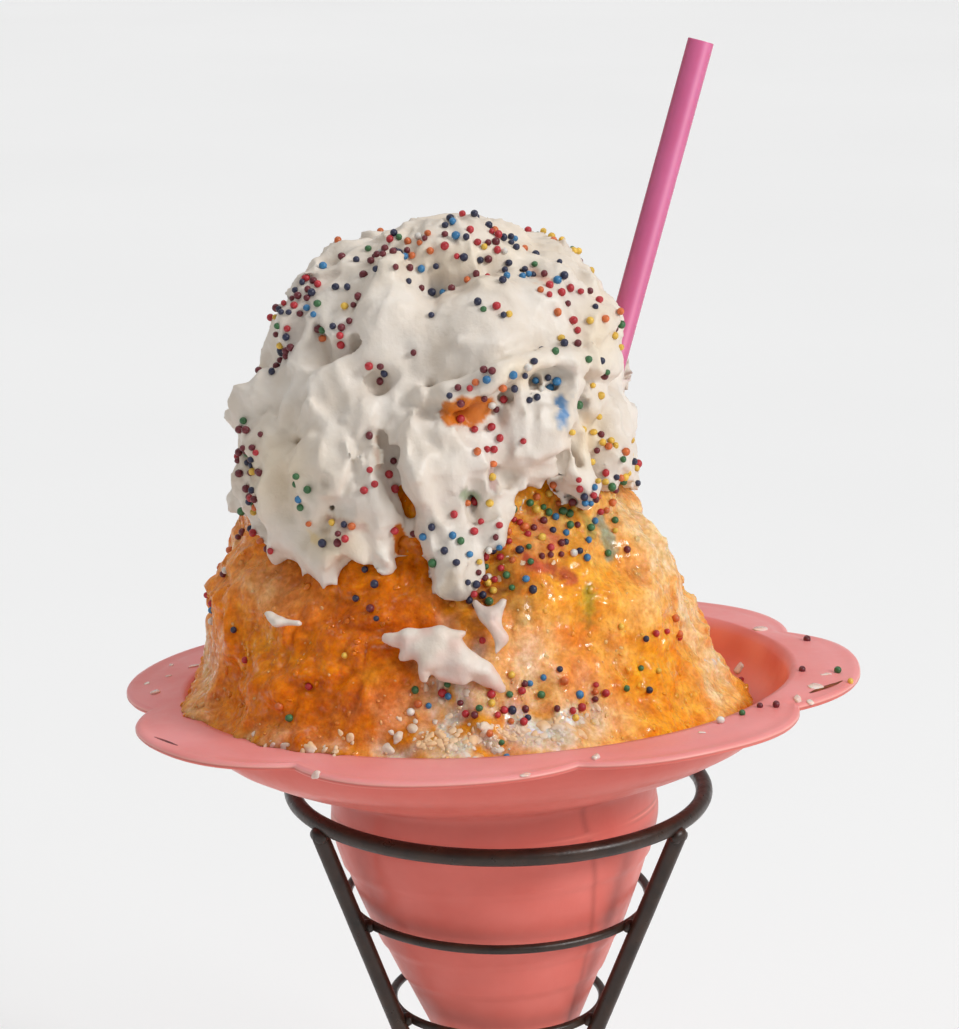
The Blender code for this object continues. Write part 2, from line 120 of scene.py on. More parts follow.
# Slits through the petals: both ends as x and y, half width, and the painted shade seen in each.
SLITS = (("petal_slit_right", (62.6, -26.6), (70.4, -16.8), 0.75, (0.30, 0.075, 0.02)),
         ("petal_slit_left", (-64.6, -34.0), (-59.2, -41.0), 0.45, (0.30, 0.085, 0.085)))
SLIT_POINTS = 24
SLIT_SIDES = 12
SLIT_FLATNESS = 0.16
ABOVE_PETALS = 40.0  # where rays down onto the petals start

# --- Stand and straw ---
LEG_AZIMUTHS = (-145.0, -35.0, 90.0)
LEG_TOP_RADIUS = 43.8
CONE_SLOPE = 0.411
KNEE_DROP = 72.0
WAIST_DROP = 88.0
WAIST_RADIUS = 8.5
KNEE_PULL = 8.0  # reach of the bends' handles
FOOT_PULL = 17.0
FOOT_INWARDS = (-0.62, 0.78)  # a leg's direction as it leaves the base ring
LEG_POINTS = (24, 20, 32)  # along the straight, the upper and the lower bend
LEG_WIRE = 1.75
RING_STEPS = 144
WIRE_SIDES = 20
# Each ring's welds: bead's radius, how far it sits out from the wire, and its lift in wire radii.
WELDS = (("top_ring", 1.9, -0.5, -1.0), ("middle_ring", 1.5, 0.2, 0.0), ("lower_ring", 1.5, 0.2, 0.0),
         ("waist_ring", 1.5, 0.2, 0.0), ("base_ring", 1.9, -0.6, 0.4))
WELD_SHAPE = (1.25, 0.8, 0.9)  # along the ring, outwards and up
STRAW_WALL = 0.35
STRAW_SIDES = 48
STRAW_STEPS = 60
LIP_TURN = 0.3  # angle at which a lip's rounding starts
# Painted highlight and painted shade along the straw, in place of its gloss: direction in
# degrees (-90 faces the front), half width, strength and colour.
STRAW_SHEEN_AND_SHADE = (
    (-66.0, 12.0, 0.9, (0.82, 0.27, 0.45)), (-160.0, 16.0, 0.7, (0.42, 0.055, 0.115)),
    (-25.0, 14.0, 0.4, (0.50, 0.08, 0.20)))

# --- Ice ---
HEAP_AXIS = (-6.0, 0.0)
HEAP_LOW = -22.0
HEAP_HIGH = 76.0
HEAP_STEP = 1.0
HEAP_COLUMNS = 120
ICE_COLUMNS = 560
ICE_ROW_STEP = 0.55
ICE_FINE_TOP = 52.0
ICE_FOOT = -16.0
CREAM_PRESS = 1.6  # how far the cream presses the heap in
POCKET_AZIMUTH = 8.0  # degrees; the ice stays clear of the rim there
# Loose crystals: name, count, least and greatest half width, and how pale they are.
CRYSTALS = (("crystals_amber", 900, 0.35, 1.0, 0.0), ("crystals_pale", 420, 0.2, 0.55, 0.35))
CRYSTAL_TOP = 44.0
CRYSTAL_FLATNESS = 0.8
CRYSTAL_TINT = np.array((0.90, 0.66, 0.36))

# --- Whipped cream ---
CREAM_CORE = (-6.0, -1.0, 46.0)  # the lobes lie round this point
CREAM_STEP = 0.68
CREAM_LOW = (-51.0, -51.0, 21.0)
CREAM_HIGH = (32.0, 47.0, 98.0)
CREAM_ROWS = 61
CREAM_COLUMNS = 120
LOBE_BLEND = 1.0
PIT_BLEND = 1.2
PIT_DEPTH = 4.0
SEAM_DEPTH = 2.0
CREAM_UNDER_ICE = 1.5
CREAM_INSET = 0.7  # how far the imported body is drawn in
CREAM_FRONT_INSET = 2.3  # and how much more in front
STROKE_ROOM = 4.0  # round a stroke's block
SWOOP_CENTRE = (3.0, -36.0, 73.0)  # the calm, smooth dollop in front
SWOOP_REACH = (18.0, 14.0, 11.0)
SMEAR_STEP = 0.4
SMEAR_ROOM = 5.0
SMEAR_RAGGEDNESS = 0.22
# Lobes: name, then (x, y, height, radius) along each stroke.
FRONT_LOBES = (
    ("swoop", (-4.7, -22.2, 69, 13), (2.9, -24.7, 68.7, 14), (9.8, -19.5, 69.1, 13)),
    ("swoop_lip", (-12, -35, 63.6, 2), (-4, -39.2, 65.4, 2.4), (5, -40.4, 67.8, 2.6),
     (15, -35.6, 69.6, 2.4), (24.7, -23, 67, 2)),
    ("left_drape", (-42, -10, 55, 4.5), (-41.5, -15.5, 47, 5.2), (-39, -21, 39.5, 4.2),
     (-37, -25.5, 34.5, 2)),
    ("left_drape_inner", (-37.5, -20, 54, 5), (-37, -25, 46, 5), (-34.5, -28.5, 40, 4)),
    ("middle_drape", (-14.5, -33, 57, 4.6), (-14.9, -36, 49.5, 4.4), (-15.4, -38.6, 43, 3.2)),
    ("right_drape", (8, -33.5, 58, 4.5), (8.4, -35, 50.5, 4), (9, -36.4, 46, 1.6)),
    ("upper_sheet", (-15, -19.5, 82, 5.5), (-14, -24.5, 76.5, 6.5), (-13.5, -26.5, 72, 6)),
    ("swoop_rim", (-9.5, -31.5, 66, 1.8), (-8.6, -31.6, 72, 2), (-4.5, -29.5, 78, 2.2),
     (2, -27, 81.5, 2.2)),
    ("swoop_crease", (-2, -36.6, 74, 1.3), (5, -37, 72.4, 1.6), (12, -33.2, 73.4, 1.4)),
    ("crest_left", (-24.3, -10.5, 79.9, 7), (-19.4, -12.5, 81.1, 8), (-13.9, -9.3, 82.6, 8)),
    ("crest", (-8.9, -8, 83.1, 9), (-1.7, -9.5, 83.9, 10), (5.2, -7.4, 81.5, 10)),
    ("crest_right", (12.2, -10.1, 80, 8), (17.8, -10.9, 77.2, 8)),
    ("upper_left", (-22.3, -13.9, 79, 7), (-20.6, -20.2, 71.4, 7)),
    ("upper_fold", (-17.6, -13.9, 86, 3), (-16.2, -18.7, 78.9, 3.4), (-13.1, -24.9, 73.9, 3)),
    ("left_bulge", (-30.7, -13.1, 72.7, 6), (-28.6, -16.9, 67.4, 7)),
    ("swirl", (-13, -25.8, 73, 3.6), (-11.3, -30, 67.6, 4.4), (-13.9, -31.9, 62.3, 4.4),
     (-20.1, -32.2, 60.5, 4), (-24.9, -30.4, 63, 3.5)),
    ("swirl_bulb", (-14.4, -28.7, 69.6, 5.5), (-15.4, -28, 66.6, 4.5)),
    ("left_wing", (-43.3, -12, 60.7, 3.4), (-37.5, -13.9, 60.3, 5), (-29.4, -17.2, 61.7, 6.5),
     (-24.4, -27.6, 62.8, 6)),
    ("left_wing_edge", (-44.1, -14.1, 60.1, 2.2), (-36.3, -16, 58.7, 3), (-28.6, -29.4, 59.5, 3)),
    ("lobe_left", (-19.6, -30.1, 57.6, 5), (-23.6, -30.3, 53.7, 6.5), (-28.6, -29.6, 47.2, 6.5),
     (-32.3, -26.8, 42.1, 5)),
    ("lobe_left_ridge", (-23.3, -34.2, 56.5, 2.2), (-25, -35.7, 50.6, 2.2), (-30.6, -32.6, 43.2, 2)),
    ("flap_left", (-38.2, -20.1, 38.8, 3.6), (-32.6, -30, 36.3, 4.2), (-27.6, -36, 32.6, 3.4),
     (-26.5, -38.9, 27.9, 1)),
    ("flap_left_inner", (-22.9, -33.9, 41.3, 4), (-23.1, -36.1, 36.4, 3.6), (-26.7, -36.8, 30.9, 2)),
    ("drip_left", (-18, -32.3, 53.4, 5), (-19.1, -35, 45.2, 5.5), (-17.7, -38, 38.6, 3),
     (-17.4, -40.3, 34.3, 1)),
    ("drip_centre", (-8.6, -33.9, 56.5, 6.5), (-7.8, -38, 48.8, 7), (-6.6, -38.1, 39.8, 5.5),
     (-5.5, -41.2, 33.1, 3.2), (-4.6, -44.5, 28.5, 1)),
    ("drip_centre_fold", (-12.5, -34.6, 60.3, 3), (-6.2, -39.6, 56.1, 3.2), (0.6, -38.6, 49.9, 3),
     (1.6, -38.9, 40.4, 2.4)),
    ("lobe_right", (4.6, -31.9, 55.5, 6.5), (3.8, -33.8, 49.1, 5.5), (2.6, -36.8, 43.1, 3.4),
     (2.3, -39.6, 38.4, 1.2)),
    ("tooth", (7, -35.1, 46.2, 3), (6.7, -37.3, 42, 1)),
    ("low_right", (11.5, -32.1, 56.1, 6.5), (12.2, -32.4, 49.2, 5.5), (12.7, -33.1, 44.5, 2.6)),
    ("low_right_edge", (15.6, -29.1, 47.5, 5), (19.1, -29.4, 43, 1.6)),
    ("right_mid", (8.2, -32.5, 63.6, 4.5), (13.9, -28.8, 61.3, 5.5), (19.6, -18.7, 59.9, 5.5)),
    ("right_edge", (21.8, -9.5, 58.4, 5.5), (24.5, -13.6, 54, 5), (23.2, -16.9, 48.5, 5),
     (23.8, -21.1, 43.2, 2.4)),
    ("right_bulge", (17.6, -15.2, 76.7, 7), (21.5, -18.5, 72.7, 6.5), (24.1, -18.8, 68.3, 5)),
    ("right_bulge_lip", (16.6, -14, 83.9, 2.4), (21.7, -19.2, 79.9, 2.4), (23.6, -22.7, 72.9, 2.4),
     (22.9, -22.7, 69, 2)))
BACK_LOBES = (
    ("back_crest", (-14, 6, 80, 10), (-2, 9, 81, 11), (9, 5, 79, 9)),
    ("back_swoop", (-12, 22, 68, 10), (2, 24, 67, 10), (14, 17, 66, 8)),
    ("back_left_curl", (-32, 2, 68, 8), (-30, 14, 63, 9), (-20, 24, 59, 8)),
    ("back_left_low", (-38, 4, 54, 7), (-33, 17, 49, 8), (-28, 24, 42, 4), (-27, 28, 35, 1)),
    ("back_mid", (-18, 29, 53, 8), (-6, 33, 53, 8), (6, 30, 52, 8)),
    ("back_drip", (-4, 33, 46, 6), (-2, 37, 38, 4), (-1, 40, 31, 1)),
    ("back_right_low", (16, 22, 52, 8), (20, 20, 44, 5), (22, 22, 37, 1.5)),
    ("back_right_curl", (20, 6, 66, 8), (21, 14, 58, 8), (15, 22, 60, 6)))
# Pits and finer seams, dug out by strokes of the same kind.
PITS = (
    ("swirl_pit", (-20, -34.8, 68.5, 2.2), (-18, -35.2, 66.5, 2)),
    ("gap", (-4.6, -34.2, 61, 2.2), (-0.6, -34.4, 61.6, 3.8), (3.4, -35, 62.4, 3.4)),
    ("under_swoop", (8, -38.5, 65.2, 1.8), (14, -35, 66.6, 1.6)),
    ("hollow_right", (19, -34, 54.5, 2.6), (20.5, -32.5, 49, 2.6)))
SEAMS = (
    ("slit", (-14.6, -43.6, 39.5, 1), (-14.8, -43, 34, 2.2)),
    ("wing_shade", (-42, -17, 52, 2.6), (-36.5, -24, 54.5, 2.2), (-31, -31.5, 55.5, 1.4)),
    ("flap_pit", (-29, -37.3, 41, 1.4), (-24.5, -38.9, 41.6, 1.6)),
    ("lobe_seam", (-16.6, -37.5, 57.5, 1.3), (-15.8, -41.8, 49, 1.3), (-15.4, -42.8, 43, 1)),
    ("lobe_right_seam", (1.2, -40.5, 54, 1), (5.5, -39.8, 47.5, 1)),
    ("flap_seam", (-33, -32, 47, 1), (-27, -37, 43.6, 1), (-21, -38.6, 44.6, 0.8)),
    ("wing_seam", (-34, -24, 64.5, 1), (-27, -30, 59, 1.2), (-21.5, -34, 58.6, 1)),
    ("crown_seam", (-20, -24, 82, 1), (-16, -29, 76, 1.1), (-15, -32, 70.5, 1)),
    ("crown_seam_right", (7, -24, 84.5, 0.9), (13.5, -25.5, 80.5, 1.1), (17.5, -26, 75, 1.2),
     (19.5, -26.5, 70, 1)),
    ("right_seam", (17, -32, 64, 1), (21.5, -27, 59, 1.2), (23.5, -24.5, 52, 1)))
# Patches of cream that lie on the ice, by the node that each replaces.
SMEAR_LOBES = {
    "cream_smear_front": (
        ("top", (-18.6, -48.8, 21, 0.8), (-14, -50.6, 20.6, 1.8), (-8, -51.4, 20.8, 1.9),
         (-3.8, -50.6, 20.8, 1)),
        ("body", (-14, -51.2, 18.8, 1.6), (-9, -52.6, 17.6, 2.4), (-4, -52.8, 16.6, 2.2),
         (0.2, -52.4, 13.8, 1.6), (2.8, -51.8, 10.6, 0.8)),
        ("middle", (-11, -52, 19, 1.8), (-5, -52.2, 18.6, 1.8)),
        ("arm", (-11, -52.4, 16.8, 1.7), (-11.4, -53.4, 13.4, 1)),
        ("web", (-8.4, -52.8, 15.2, 1.7), (-4, -53, 14.2, 1.6))),
    "cream_smear_drip": (
        ("drip", (-0.6, -47.8, 26.4, 0.8), (1.4, -49.2, 24, 1.4), (2.6, -50.8, 20.6, 1.2),
         (2, -51.4, 17.8, 0.6)),
        ("arm", (4.6, -47.2, 26.8, 0.7), (1.8, -49.4, 23.6, 1))),
    "cream_dab_left": (
        ("dab", (-41.2, -36.4, 23.8, 0.7), (-38.4, -38.8, 22.4, 1.2), (-34.4, -41, 22.6, 0.8)),)}
# Bits of cream in the slush: x, height, half width, half height and count.
CREAM_BITS = (
    (-5, 3, 13, 2.6, 100), (10, 3, 8, 2.2, 60), (-6, 10, 5, 4, 16), (-34, 0.4, 9, 1.2, 26),
    (46, 2, 3, 2, 14), (10, 30, 8, 5, 5))
# Drops on the petals: x, y and half width.
PETAL_DROPS = (
    (-67.6, -0.8, 1.5), (-66, 12, 0.7), (-61.6, 18.8, 1.2), (-70.2, 8, 0.8), (-66.5, 22, 0.7),
    (-31.7, -64.6, 1.2), (6.6, -72.6, 0.8), (19.8, -64.4, 1), (57.7, 26.6, 1.4), (64.6, -22, 1.2),
    (60, -30.5, 1.3), (62.5, -31.5, 0.8), (67.5, -13, 1), (53, 24, 1.4), (-58, -22, 0.6), (40, -52, 0.6))

# --- Sprinkles ---
SPRINKLE_COLOURS = (
    ("red", (0.46, 0.02, 0.03)), ("maroon", (0.14, 0.012, 0.02)), ("navy", (0.018, 0.022, 0.06)),
    ("green", (0.04, 0.15, 0.05)), ("yellow", (0.75, 0.47, 0.06)), ("blue", (0.03, 0.18, 0.38)),
    ("orange", (0.62, 0.14, 0.03)), ("pale", (0.7, 0.66, 0.6)))
# Mixtures: the chance of each colour above, in order.
MIXES = {
    "mixed": (3, 3, 3, 2, 2, 2, 2, 1), "dark": (2, 6, 4, 1, 1, 0, 0, 0), "warm": (5, 4, 1, 0, 3, 0, 3, 0),
    "cool": (0, 1, 4, 3, 0, 4, 0, 1), "lemon": (1, 1, 1, 2, 6, 0, 2, 0), "red": (8, 3, 0, 0, 0, 0, 1, 0)}
# Clusters seen from CREAM_CORE: azimuth, elevation, half width and half height in
# degrees, count and mixture.
CLUSTERS = (
    (-95, 68, 40, 7, 58, "mixed"), (-120, 66, 16, 6, 24, "dark"), (-60, 64, 20, 6, 20, "warm"),
    (-45, 58, 14, 8, 20, "cool"), (-38, 50, 8, 8, 12, "red"), (-150, 50, 10, 9, 22, "dark"),
    (-155, 38, 7, 7, 26, "dark"), (-138, 50, 6, 8, 10, "mixed"), (-125, 44, 5, 9, 9, "warm"),
    (-112, 33, 3, 2, 7, "dark"), (-72, 44, 14, 8, 8, "dark"), (-45, 38, 8, 8, 11, "warm"),
    (-28, 38, 6, 9, 12, "lemon"), (-76, 25, 12, 4, 18, "mixed"), (-62, 25, 8, 6, 14, "cool"),
    (-42, 24, 10, 8, 12, "lemon"), (-152, 4, 8, 9, 50, "dark"), (-148, -8, 6, 7, 22, "mixed"),
    (-128, 0, 6, 4, 8, "cool"), (-118, -8, 7, 3, 14, "warm"), (-108, 6, 3, 9, 8, "red"),
    (-77, 12, 5, 8, 12, "red"), (-80, -5, 5, 6, 14, "warm"), (-88, -12, 7, 7, 14, "cool"),
    (-76, -19, 8, 4, 40, "mixed"), (-82, -25, 4, 4, 22, "dark"), (-55, -8, 8, 6, 30, "mixed"),
    (-42, -6, 10, 7, 42, "mixed"), (-35, 4, 8, 6, 20, "lemon"), (-52, -16, 8, 4, 22, "cool"),
    (-64, -14, 8, 5, 18, "warm"), (-28, -12, 10, 7, 10, "lemon"), (-110, -24, 12, 6, 6, "dark"),
    (-83, -38, 14, 3, 60, "mixed"), (-64, -38, 10, 3, 22, "mixed"), (-40, -35, 14, 4, 9, "mixed"),
    (-140, -32, 20, 6, 5, "mixed"), (-20, -36, 10, 4, 3, "mixed"))
# Places on the petals: x and y, and the colour's number.
PETAL_SPRINKLES = (
    (66.5, 15.6, 1), (63, -10, 1), (69.9, -11.1, 3), (52.3, -36, 1), (55.4, -36, 1), (44, -46, 7),
    (53, 20, 0), (48.5, -41, 3), (71.5, -18.5, 4), (-30, -53.4, 3), (-43, -44.2, 7))
SPRINKLE_RADIUS = (0.62, 0.88)
SPRINKLE_LIFT = (0.25, 0.75)  # of its centre from the surface, in radii
SPRINKLE_APART = 0.92  # least distance, of the two radii
BACK_CLUSTERS = 34
BACK_AZIMUTHS = (-15.0, 195.0)
BACK_ELEVATIONS = (-28.0, 78.0)
BACK_SPREAD = (9.0, 8.0)
BACK_COUNTS = (4, 14)
BACK_MIXES = ("mixed", "dark", "warm", "lemon", "cool")

# --- Painted colours ---
DEEP_SYRUP = np.array((0.58, 0.100, 0.001))
SYRUP = np.array((0.82, 0.235, 0.002))
LIGHT_SYRUP = np.array((0.88, 0.37, 0.012))
PALE_SLUSH = np.array((0.84, 0.58, 0.30))
WHITE_SLUSH = np.array((0.78, 0.66, 0.53))
GAP_SYRUP = np.array((0.62, 0.17, 0.01))
# Warm tint of syrup stains, also used as painted shade on the cream.
STAIN_AND_SHADE = np.array((0.80, 0.62, 0.36))
SMEAR_TINT = (0.76, 0.50, 0.42)
BIT_TINT = (0.84, 0.52, 0.26)
# Painted sheen on the petals' up-facing tops and a painted highlight on their lit edge.
PETAL_SHEEN = np.array((0.90, 0.37, 0.375))
PETAL_EDGE_HIGHLIGHT = np.array((0.90, 0.45, 0.40))
WET_WALL = np.array((0.98, 0.34, 0.27))
DARK_LINE_COLOUR = np.array((0.42, 0.085, 0.065))
# The thin dark line's height and azimuth in degrees, at two places.
DARK_LINE_TOP = (-27.0, -56.4)
DARK_LINE_LOW = (-65.6, -40.4)
# Places in front: x, height, half width, half height and strength.
PALE_PLACES = (
    (36, 32, 8, 12, 1), (43.5, 15, 5, 12, 0.9), (47.5, 3, 5.5, 7, 0.9), (-57, 8, 3.6, 16, 0.6),
    (-43, 28, 8, 5, 0.5), (9, 15, 8, 8, 0.5), (23, 14, 3.5, 9, 0.2), (20, 1, 7, 5, 0.5),
    (28, 35, 7, 6, 0.6), (12, 36, 6, 5, 0.3))
WHITE_PLACES = (
    (-6, 11, 6, 8, 0.9), (-3, 3.5, 13, 5.5, 1.1), (12, 3.5, 9, 5, 0.9), (-16, 2, 6, 4, 0.6),
    (9, 13, 3, 6, 0.4), (-34, 0, 10, 2.2, 0.6), (-1, 26, 7, 4, 0.4))
DARK_PLACES = (
    (-22, 24, 16, 9, 0.9), (-30, 8, 18, 9, 0.6), (9, 33, 6, 4, 0.5), (5.5, 6, 2.2, 6, 0.9))
GAP_PLACES = (
    (-0.8, 61.4, 5.4, 3.3, 1.1), (9.5, 65.2, 2.6, 1.2, 0.5), (-14.9, 37, 1.3, 4, 1))
# Syrup stains on the cream, and a warm painted shade on its shaded lower left.
STAIN_AND_SHADE_PLACES = (
    (22, 53, 4, 5, 0.55), (10, 68, 5, 3, 0.45), (25, 72, 4, 8, 0.35), (-27, 37, 7, 4, 0.45),
    (-38, 49, 8, 9, 0.42), (0, 88, 20, 5, 0.3))
# Streaks of dye: ends as x and height, half width, strength and colour.
DYE_STREAKS = (
    ((8.6, 32.5), (17.9, 27.8), 1.1, 0.75, (0.42, 0.03, 0.03)),
    ((20.6, 26), (20.3, 19.3), 1.3, 0.55, (0.22, 0.28, 0.02)),
    ((4, 35), (7, 24), 2.4, 0.35, (0.1, 0.14, 0.05)), ((-6, 29.5), (2, 25), 2, 0.45, (0.1, 0.03, 0.04)),
    ((-2, 45.8), (0.4, 44), 1, 0.6, (0.12, 0.32, 0.06)),
    ((17.5, 61.8), (17.1, 57.4), 1.5, 0.95, (0.05, 0.22, 0.48)),
    ((-27.5, 41.6), (-21.5, 40.2), 1, 0.6, (0.3, 0.02, 0.05)),
    ((-31.5, 38), (-29.5, 36.6), 1, 0.6, (0.75, 0.5, 0.08)),
    ((3, 50), (3.6, 46), 0.7, 0.5, (0.5, 0.04, 0.06)),
    ((-18.4, 56.5), (-18, 51.5), 0.6, 0.5, (0.45, 0.04, 0.06)),
    ((23.5, 36), (25.5, 30), 1.2, 0.6, (0.04, 0.28, 0.26)),
    ((11, 38), (16, 33.5), 0.9, 0.6, (0.5, 0.04, 0.05)),
    ((13, 84.5), (15.5, 83), 1.1, 0.6, (0.6, 0.08, 0.06)),
    ((19, 40), (22, 34), 0.9, 0.5, (0.2, 0.33, 0.1)))


# --- Frame ---
def cup_rotation():
    return np.array(Matrix.Rotation(-LEAN_BACK, 3, "X") @ Matrix.Rotation(-LEAN_LEFT, 3, "Y"))


def ring_centre():
    low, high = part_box("stand_top_ring")
    return np.array((low + high) / 2.0)


def rim_centre():
    return ring_centre() + np.array(RING_TO_RIM) * MM


def to_world(points):
    """Points of the cup's frame, in millimetres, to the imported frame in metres."""
    return np.asarray(points, float) @ cup_rotation().T * MM + rim_centre()


def to_cup(points):
    """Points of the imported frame, in metres, to the cup's frame in millimetres."""
    return (np.asarray(points, float) - rim_centre()) @ cup_rotation() / MM


def level(turn):
    """Level unit vectors at angles of turn."""
    return np.stack([np.cos(turn), np.sin(turn), np.zeros_like(turn)], axis=-1)


# --- Noise ---
CORNERS = list(np.ndindex(2, 2, 2))


def hashed(ix, iy, iz, seed):
    """A repeatable value from 0 to 1 for each whole-numbered place."""
    h = (ix * 73856093) ^ (iy * 19349663) ^ (iz * 83492791) ^ ((seed + SEED) * 97531 + 12345)
    for _ in range(2):
        h = (((h ^ (h >> 16)) & 0xFFFFFFFF) * 0x45D9F3B) & 0xFFFFFFFF
    return ((h ^ (h >> 16)) & 0xFFFFFF) / float(0xFFFFFF)


def noise(points, size, seed):
    """Smooth noise from -1 to 1 with bumps about size across."""
    scaled = points / size
    base = np.floor(scaled).astype(np.int64)
    part = scaled - base
    fade = part ** 3 * (part * (part * 6.0 - 15.0) + 10.0)
    total = np.zeros(len(points))
    for corner in CORNERS:
        weight = np.ones(len(points))
        for axis in range(3):
            weight *= fade[:, axis] if corner[axis] else 1.0 - fade[:, axis]
        total += weight * hashed(*(base + np.array(corner)).T, seed)
    return 2.0 * total - 1.0


def noise_vectors(points, size, seed):
    return np.stack([noise(points, size, seed + axis) for axis in range(3)], axis=1)


def cell_walls(points, size, seed):
    """Rises from 0 on the walls between scattered cells about size across."""
    scaled = points / size
    base = np.floor(scaled).astype(np.int64)
    nearest = np.full(len(points), 9.0)
    second = nearest.copy()
    for step in np.ndindex(3, 3, 3):
        cell = base + np.array(step) - 1
        spot = np.stack([hashed(*cell.T, seed + axis) for axis in range(3)], axis=1) + cell
        away = np.linalg.norm(scaled - spot, axis=1)
        second = np.minimum(second, np.maximum(nearest, away))
        nearest = np.minimum(nearest, away)
    return second - nearest


def smooth_step(low, high, values):
    share = np.clip((values - low) / (high - low), 0.0, 1.0)
    return share * share * (3.0 - 2.0 * share)


def ridges(points, size, seed, sharpness=2.0):
    """Noise folded into crests that reach 1."""
    return 1.0 - sharpness * np.abs(noise(points, size, seed))


# --- Meshes ---
def add_object(name, data):
    thing = bpy.data.objects.new(name, data)
    bpy.context.scene.collection.objects.link(thing)
    return thing


def make_piece(name, points, faces, material, slot, nodes=(), paint=None, world=False):
    """A smooth mesh that rides on the dessert, stands for CAD nodes and may carry paint."""
    mesh = bpy.data.meshes.new(name)
    mesh.from_pydata(points if world else to_world(points), [],
                     faces if isinstance(faces, list) else faces.tolist())
    mesh.validate()
    mesh.shade_smooth()
    mesh.materials.append(material)
    piece = add_object(name, mesh)
    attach(piece, "root")
    if nodes:
        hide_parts(*nodes)
    if paint:
        layer = mesh.color_attributes.new(paint[0], "FLOAT_COLOR", "POINT")
        layer.data.foreach_set("color", np.asarray(paint[1], np.float32).ravel())


def vertex_normals(points, faces):
    """Unit normals of a mesh of quads."""
    corners = points[faces]
    across = np.cross(corners[:, 2] - corners[:, 0], corners[:, 3] - corners[:, 1])
    total = np.zeros_like(points)
    for column in range(4):
        np.add.at(total, faces[:, column], across)
    return total / np.maximum(np.linalg.norm(total, axis=1, keepdims=True), 1e-12)


def grid_faces(rows, columns, wrap=False):
    """Quads of a grid whose columns run round, and its rows too where it wraps."""
    row, column = np.meshgrid(np.arange(rows if wrap else rows - 1), np.arange(columns),
                              indexing="ij")
    above, after = (row + 1) % rows, (column + 1) % columns
    return np.stack([row * columns + column, row * columns + after, above * columns + after,
                     above * columns + column], axis=-1).reshape(-1, 4)


def close_grid(points, columns, first_centre, last_centre):
    """A grid's points, its quads, and all faces with a fan over its first and last ring."""
    quads = grid_faces(len(points) // columns, columns)
    ring = np.arange(columns)
    after = (ring + 1) % columns
    last, centre = len(points) - columns, len(points)
    fans = [(centre, b, a) for a, b in zip(ring, after)]
    fans += [(centre + 1, last + a, last + b) for a, b in zip(ring, after)]
    return np.concatenate([points, [first_centre, last_centre]]), quads, quads.tolist() + fans


def join(shapes):
    """One set of points and faces from several."""
    starts = np.cumsum([0] + [len(points) for points, _ in shapes])
    return (np.concatenate([points for points, _ in shapes]),
            np.concatenate([faces + start for (_, faces), start in zip(shapes, starts)]))


def tree_of(points, faces):
    return BVHTree.FromPolygons([Vector(point) for point in points], faces.tolist())


def surface_nets(field, origin, step):
    """Quads where a field on a grid changes sign; it is negative inside."""
    inside = field < 0.0
    shape = np.array(field.shape) - 1
    count = np.zeros(shape, np.int8)
    for i, j, k in CORNERS:
        count += inside[i:shape[0] + i, j:shape[1] + j, k:shape[2] + k]
    cells = np.argwhere((count > 0) & (count < 8))
    index = np.full(shape, -1, np.int64)
    index[tuple(cells.T)] = np.arange(len(cells))
    return origin + edge_middles(field, cells) * step, net_faces(inside, index)


def edge_middles(field, cells):
    """The mean of the places where each cell's edges cross the surface."""
    values = [field[tuple((cells + corner).T)] for corner in CORNERS]
    total = np.zeros((len(cells), 3))
    crossings = np.zeros(len(cells))
    for a, first in enumerate(CORNERS):
        for b, last in enumerate(CORNERS):
            if b <= a or sum(abs(p - q) for p, q in zip(first, last)) != 1:
                continue
            cross = (values[a] < 0.0) != (values[b] < 0.0)
            gap = np.where(cross, values[a] - values[b], 1.0)
            share = np.where(cross, values[a] / gap, 0.0)[:, None]
            place = np.array(first) + share * (np.array(last) - np.array(first))
            total += np.where(cross[:, None], place, 0.0)
            crossings += cross
    return cells + total / crossings[:, None]


def net_faces(inside, index):
    """A quad round each grid edge that crosses the surface."""
    faces = []
    for axis in range(3):
        side, other = (axis + 1) % 3, (axis + 2) % 3
        first = [slice(1, -1)] * 3
        first[axis] = slice(0, -1)
        last = list(first)
        last[axis] = slice(1, None)
        low, high = inside[tuple(first)], inside[tuple(last)]
        start = np.ones(3, np.int64)
        start[axis] = 0
        for mask, order in ((low & ~high, 1), (~low & high, -1)):
            ring = []
            for back_side, back_other in ((1, 1), (0, 1), (0, 0), (1, 0)):
                cell = np.argwhere(mask) + start
                cell[:, side] -= back_side
                cell[:, other] -= back_other
                ring.append(index[tuple(cell.T)])
            faces.append(np.stack(ring[::order], axis=1))
    return np.concatenate(faces)


def tube(path, radius, sides, closed=False, round_ends=True):
    """Points and quads of a tube along a path; its radius may vary along it."""
    radius = np.broadcast_to(radius, (len(path),))
    forward = np.roll(path, -1, 0) - np.roll(path, 1, 0) if closed else np.gradient(path, axis=0)
    forward /= np.linalg.norm(forward, axis=1, keepdims=True)
    side = np.cross(forward[0], UP)
    side /= np.linalg.norm(side)
    across = []
    for direction in forward:
        side = side - direction * (side @ direction)
        side /= np.linalg.norm(side)
        across.append(side)
    frames = [np.array(across), np.cross(forward, across)]
    if round_ends and not closed:
        path, radius, frames = add_round_ends(path, radius, forward, frames)
    angle = (np.arange(sides) * 2.0 * math.pi / sides)[:, None]
    ring = np.cos(angle) * frames[0][:, None] + np.sin(angle) * frames[1][:, None]
    points = (path[:, None] + ring * radius[:, None, None]).reshape(-1, 3)
    return points, grid_faces(len(path), sides, closed)


def add_round_ends(path, radius, forward, frames):
    """Rings that close each end of a tube with a dome."""
    angle = np.array((0.05, 0.35, 0.7)) * math.pi / 2.0
    rise, small = radius[0] * np.cos(angle)[:, None], np.sin(angle)
    path = np.concatenate([path[0] - rise * forward[0], path, path[-1] + rise[::-1] * forward[-1]])
    radius = np.concatenate([radius[0] * small, radius, radius[-1] * small[::-1]])
    return path, radius, [np.pad(frame, ((len(angle), len(angle)), (0, 0)), "edge") for frame in frames]


